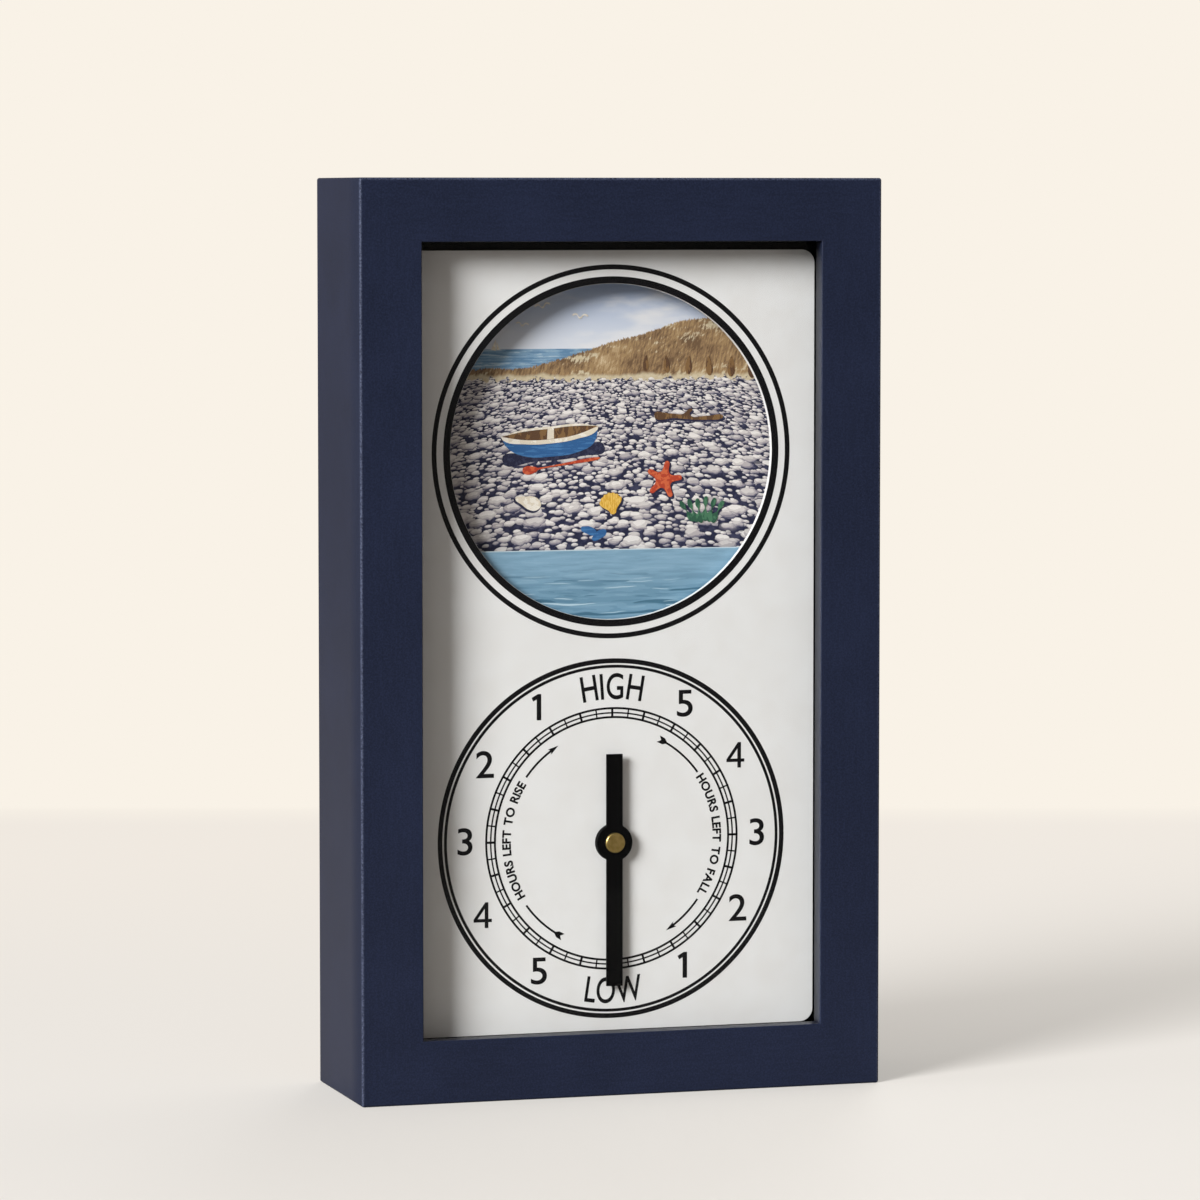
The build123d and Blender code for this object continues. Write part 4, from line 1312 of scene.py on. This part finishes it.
def painted_water():
    finish = Finish("water_print")
    x, _, z = finish.place.axes()
    depth = (water_top - z * 1000).math("MAXIMUM", 0.0)
    size = 1 + depth * wave_growth
    along = size.math("LOGARITHM", math.e) / wave_growth
    bend = finish.place.scaled(1, 1, 2.5).noise(50, 2.0, 0.5)
    values = {"X": x * 1000 / size * wave_stretch, "Y": along * wave_pitch + bend * wave_bend}
    flow = size.node("ShaderNodeCombineXYZ", None, values)
    swell = flow.noise(1.0, 2.0, 0.55)
    trough = flow.scaled(0.8, 1.15, 1.0).noise(1.0, 1.0, 0.4)
    glint = flow.scaled(0.9, 2.6, 1.0).noise(1.0, 1.0, 0.4)
    deep = depth.rises(*haze_depth)
    blue = (haze - deep * haze).mix(swell.flat_tones(*wave_tones), tone("92b6cd"))
    shaded = ((trough - trough_level).rises(0.0, 0.012) * deep).mix(blue, tone("456f86"))
    lit = ((glint - glint_level).rises(0.0, 0.012) * deep).mix(shaded, tone("b4cfdc"))
    foam = (0.35 - depth).rises(0.0, 0.12)
    finish.set(
        base_color=foam.mix(lit, tone("c3d5de")),
        roughness=0.38 + bend * 0.12,
        specular_ior_level=0.4,
    )
    return finish


dress(painted_water(), "water_sheet")

# %% [markdown]
# ## Wood, board and plastic
# The pieces behind the panel show from the back and when the clock is taken apart. Each material gets the
# marks of how it is made: fibres in pressed board, year rings in pine, spark texture on moulded plastic.
# Metal, plastic and rubber differ only in tones, scale and gloss, so one function makes them all.

# %% Metal, plastic and rubber
def mottled(name, first, second, scale, low_rough, depth, metallic=0.0, level=0.4):
    """Two tones in a noise, with a roughness and a relief that follow it, by a depth in millimetres."""
    finish = Finish(name)
    fine = finish.place.noise(scale, 4.0, 0.62)
    cloud = finish.place.noise(scale / 9, 3.0, 0.55)
    share = (fine * 0.6 + cloud * 0.4).rises(0.36, 0.64)
    finish.set(
        base_color=share.mix(tone(first), tone(second)),
        roughness=low_rough + fine * 0.22,
        metallic=metallic,
        specular_ior_level=level,
    )
    return finish.relief(fine, depth * mm, 0.6)


matt_black = mottled("flat_black", "0a0a0c", "141416", 2200, 0.6, 0.03, level=0.25)
steel = mottled("zinc_steel", "8d9093", "b4b7b9", 900, 0.24, 0.01, metallic=1.0)
yellow_zinc = mottled("yellow_zinc", "a08d58", "c6b47e", 900, 0.24, 0.01, metallic=1.0)
moulded = mottled("moulded_black", "1c1c20", "2b2b30", 3200, 0.40, 0.03)
knob_black = mottled("knob_black", "35353a", "4a4a50", 2400, 0.34, 0.02)
mark_grey = mottled("mark_grey", "8b8b8f", "a5a5a8", 3200, 0.45, 0.02)
natural = mottled("natural_plastic", "dcdad0", "ebe9e2", 800, 0.38, 0.01)
rubber = mottled("gasket_rubber", "101011", "1c1c1d", 1500, 0.65, 0.03)
dress(matt_black, "side_spacers", "end_spacers", "left_guide", "right_guide")
dress(
    natural,
    *("ring_gear", "crank_wheel", "planet_gear", "lift_drive_wheel", "tide_wheel", "minute_wheel"),
    *("centre_wheel", "third_wheel", "seconds_wheel", "intermediate_wheel"),
)
dress(
    steel,
    *("mitre_nails", "panel_pillars", "pillar_screws", "guide_screws", "ring_screws", "bush_washer"),
    *("plus_contact", "minus_contact", "quartz_crystal", "stator", "rotor"),
)
dress(brass, "tide_arbor", "threaded_bush", "bush_nut", "centre_arbor", "crank_axle")
dress(moulded, "movement_base", "clock_chip", "train_bridge")
dress(rubber, "movement_gasket")

# %% Board and pine
# Depth of the black face of the plate: painted shade for the gap beside the panel.
shade_face_skin = 0.2 * mm


def hardboard(name, painted_shade_before=None):
    """Pressed board. Its face before a depth may be black, a painted shade that keeps the gap beside the
    panel dark.
    """
    finish = Finish(name)
    fibre = strokes(finish.place, 35, 3.0, 1500)
    cross_fibre = strokes(finish.place, -50, 3.0, 1300)
    cloud = finish.place.noise(26, 3.0, 0.6)
    share = (fibre * 0.5 + cross_fibre * 0.5 + (cloud - 0.5) * 0.4).rises(0.34, 0.68)
    speck = finish.place.noise(2600, 2.0, 0.6).rises(0.66, 0.72) * 0.5
    brown = share.mix(tone("7d5836"), tone("a67c50"))
    board = speck.mix(brown, tone("523720"))
    if painted_shade_before:
        # Painted shade: the face before the depth is black, so the gap beside the panel stays dark.
        black = (painted_shade_before - finish.place.axes()[1]).rises(0.0, 0.05 * mm)
        board = black.mix(board, tone("0b0b0c"))
    finish.set(base_color=board, roughness=0.55 + fibre * 0.25)
    return finish.relief(fibre * 0.5 + cross_fibre * 0.5, 0.06 * mm, 0.6)


def pine():
    finish = Finish("pine")
    ring = finish.place.scaled(1, 1, 0.06).noise(260, 2.0, 0.5)
    year = (ring * 9).math("FRACT")
    pore = finish.place.scaled(1, 1, 0.05).noise(3000, 2.0, 0.6)
    late = year.rises(0.55, 0.95)
    finish.set(
        base_color=late.mix(tone("d9bd92"), tone("b98e5c")),
        roughness=0.5 + pore * 0.25,
    )
    return finish.relief(pore, 0.04 * mm, 0.5)


brown_board = hardboard("hardboard")
dress(pine(), "side_cleats", "end_cleats")
plate_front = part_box("mechanism_plate")[0].y
dress(hardboard("plate_board", plate_front + shade_face_skin), "mechanism_plate")

# %% Circuit board, coil and battery
track_pitch = 640
winding_pitch = 26000


def circuit_green():
    """Solder mask with paler tracks and round pads."""
    finish = Finish("circuit_green")
    z = finish.place.axes()[2]
    lane = (z * track_pitch).math("FRACT").rises(0.55, 0.6)
    cut = finish.place.scaled(1, 1, 0.2).noise(420, 1.0, 0.4).rises(0.5, 0.52)
    pads = finish.place.node("ShaderNodeTexVoronoi", None, {"Vector": finish.place, "Scale": 420.0})
    pad = 1 - pads.rises(0.22, 0.25)
    green = (lane * cut).mix(tone("15502f"), tone("2c7a4a"))
    finish.set(
        base_color=pad.mix(green, tone("c3c6c4")), metallic=pad * 0.9, roughness=0.42 - pad * 0.12
    )
    return finish.relief(lane * cut, 0.03 * mm, 0.6)


def copper_winding():
    finish = Finish("copper_winding")
    x = finish.place.axes()[0]
    # Each turn of wire is lighter on its crest and darker in the groove between turns: painted highlight and
    # painted shade.
    wire_crest_shading = (x * winding_pitch).math("SINE") * 0.5 + 0.5
    sheen = finish.place.noise(600, 2.0, 0.5)
    finish.set(
        base_color=wire_crest_shading.mix(tone("7c3d1c"), tone("c67a44")), metallic=0.85, roughness=0.28 + sheen * 0.15
    )
    return finish.relief(wire_crest_shading, 0.06 * mm, 0.9)


def battery_wrap():
    """A plain wrap: a teal sleeve with two pale lines, and bare metal at both ends."""
    finish = Finish("battery_wrap")
    along = finish.place.axes()[0] * 1000
    low, high = (corner.x * 1000 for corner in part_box("battery"))

    def past(place):
        return (along - place).rises(0.0, 0.1)

    metal = (low + 1.2 - along).rises(0.0, 0.1) + (along - high + 1.9).rises(0.0, 0.1)
    line = past(8.0) - past(9.4) + past(10.4) - past(11.0)
    scuff = finish.place.noise(700, 4.0, 0.6)
    sleeve = scuff.rises(0.35, 0.75).mix(tone("2b4f63"), tone("35607a"))
    finish.set(
        base_color=metal.mix(line.mix(sleeve, tone("dfe3e2")), tone("b9bbbd")),
        metallic=metal,
        roughness=0.30 + scuff * 0.15,
    )
    return finish


dress(circuit_green(), "circuit_board")
dress(copper_winding(), "motor_coil")
sleeve_finish = battery_wrap()
print(f"{sleeve_finish.material.name} ready for the battery")

# %% [markdown]
# ## Back of the case
# Behind, a pressed board is held by countersunk screws, a keyhole plate hangs the clock, and an opening
# gives way to the battery and the setting knob. The movement cover has raised marks for the poles of the
# battery and for the way the knob turns. The cross recess in each screw could be a dark print, but a cut
# catches the light: two crossed bars are copied to every screw and subtracted in one Boolean step.

# %% Board, hanger, movement cover, knob and battery
eased("back_board", 0.3 * mm, brown_board, "case", "hardboard")
eased("hanger_plate", 0.15 * mm, steel, "case", "steel")
eased("movement_cover", 0.35 * mm, moulded, "case", "movement_black", segments=3)
eased("setting_knob", 0.18 * mm, knob_black, "setting", "movement_black")
eased("battery", 0.4 * mm, sleeve_finish, "case", "battery_wrap", segments=3)

# %% Marks on the cover
mark_height = 0.22 * mm
mark_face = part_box("movement_cover")[1].y + mark_height
turn_mark_radius = 12.0 * mm
turn_mark_line = 0.9 * mm
turn_mark_sweep = (284, 335.5)
turn_head_angle = 340
turn_mark_head = [(2.1, 0), (-0.9, 1.6), (-0.9, -1.6)]
pole_mark_side = 23.0 * mm
pole_mark_rise = 4.2 * mm
plus_mark = [
    (1.6, 0.4), (0.4, 0.4), (0.4, 1.6), (-0.4, 1.6), (-0.4, 0.4), (-1.6, 0.4),
    (-1.6, -0.4), (-0.4, -0.4), (-0.4, -1.6), (0.4, -1.6), (0.4, -0.4), (1.6, -0.4),
]
minus_mark = [(1.6, 0.4), (-1.6, 0.4), (-1.6, -0.4), (1.6, -0.4)]
pole_mark_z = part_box("movement_cover")[0].z + pole_mark_rise
inner = turn_mark_radius - turn_mark_line / 2
outer = turn_mark_radius + turn_mark_line / 2
head_place = polar(turn_mark_radius, turn_head_angle, arbor_z)
plus_place = (pole_mark_side, pole_mark_z)
minus_place = (-pole_mark_side, pole_mark_z)
marks = [
    flat_ring("turn_mark", inner, outer, arbor_z, turn_mark_sweep, mark_face, mark_height),
    flat_patch("turn_head", turn_mark_head, head_place, turn_head_angle, mark_face, mark_height),
    flat_patch("plus_mark", plus_mark, plus_place, 0, mark_face, mark_height),
    flat_patch("minus_mark", minus_mark, minus_place, 0, mark_face, mark_height),
]
finish_piece(joined("cover_marks", marks), mark_grey, "case", "movement_black")

# %% Screw recesses
turn_between_screws = 37


def islands(mesh):
    """The middle of each loose part of a mesh, as (x, z), and the rearmost y."""
    parent = list(range(len(mesh.vertices)))

    def root(index):
        while parent[index] != index:
            parent[index] = parent[parent[index]]
            index = parent[index]
        return index

    for edge in mesh.edges:
        parent[root(edge.vertices[0])] = root(edge.vertices[1])
    groups = {}
    for vertex in mesh.vertices:
        groups.setdefault(root(vertex.index), []).append(vertex.co)
    spots = []
    for points in groups.values():
        xs = [point.x for point in points]
        zs = [point.z for point in points]
        spots.append(((min(xs) + max(xs)) / 2, (min(zs) + max(zs)) / 2))
    return spots, max(vertex.co.y for vertex in mesh.vertices)


def bar(place, size, turn):
    bpy.ops.object.select_all(action="DESELECT")
    bpy.ops.mesh.primitive_cube_add(size=1, location=place, rotation=(0, turn, 0), scale=size)
    return newest("recess_bar")


def cross_recessed(node, length, width, depth):
    """Screws with a cross cut into each head."""
    piece = copy_of(node, f"{node}_cut")
    spots, back = islands(piece.data)
    bars = []
    for number, (x, z) in enumerate(spots):
        for quarter in (0, 1):
            turn = math.radians(turn_between_screws * number + 90 * quarter)
            bars.append(bar((x, back, z), (length, 2 * depth, width), turn))
    cutter = joined("recess_cutter", bars)
    apply_modifier(piece, "BOOLEAN", operation="DIFFERENCE", object=cutter, use_self=True)
    bpy.data.objects.remove(cutter)
    smooth(piece)
    finish_piece(piece, yellow_zinc, "case", "steel", node)


cross_recessed("back_screws", length=3.2 * mm, width=0.75 * mm, depth=0.9 * mm)
cross_recessed("hanger_screws", length=2.3 * mm, width=0.55 * mm, depth=0.6 * mm)
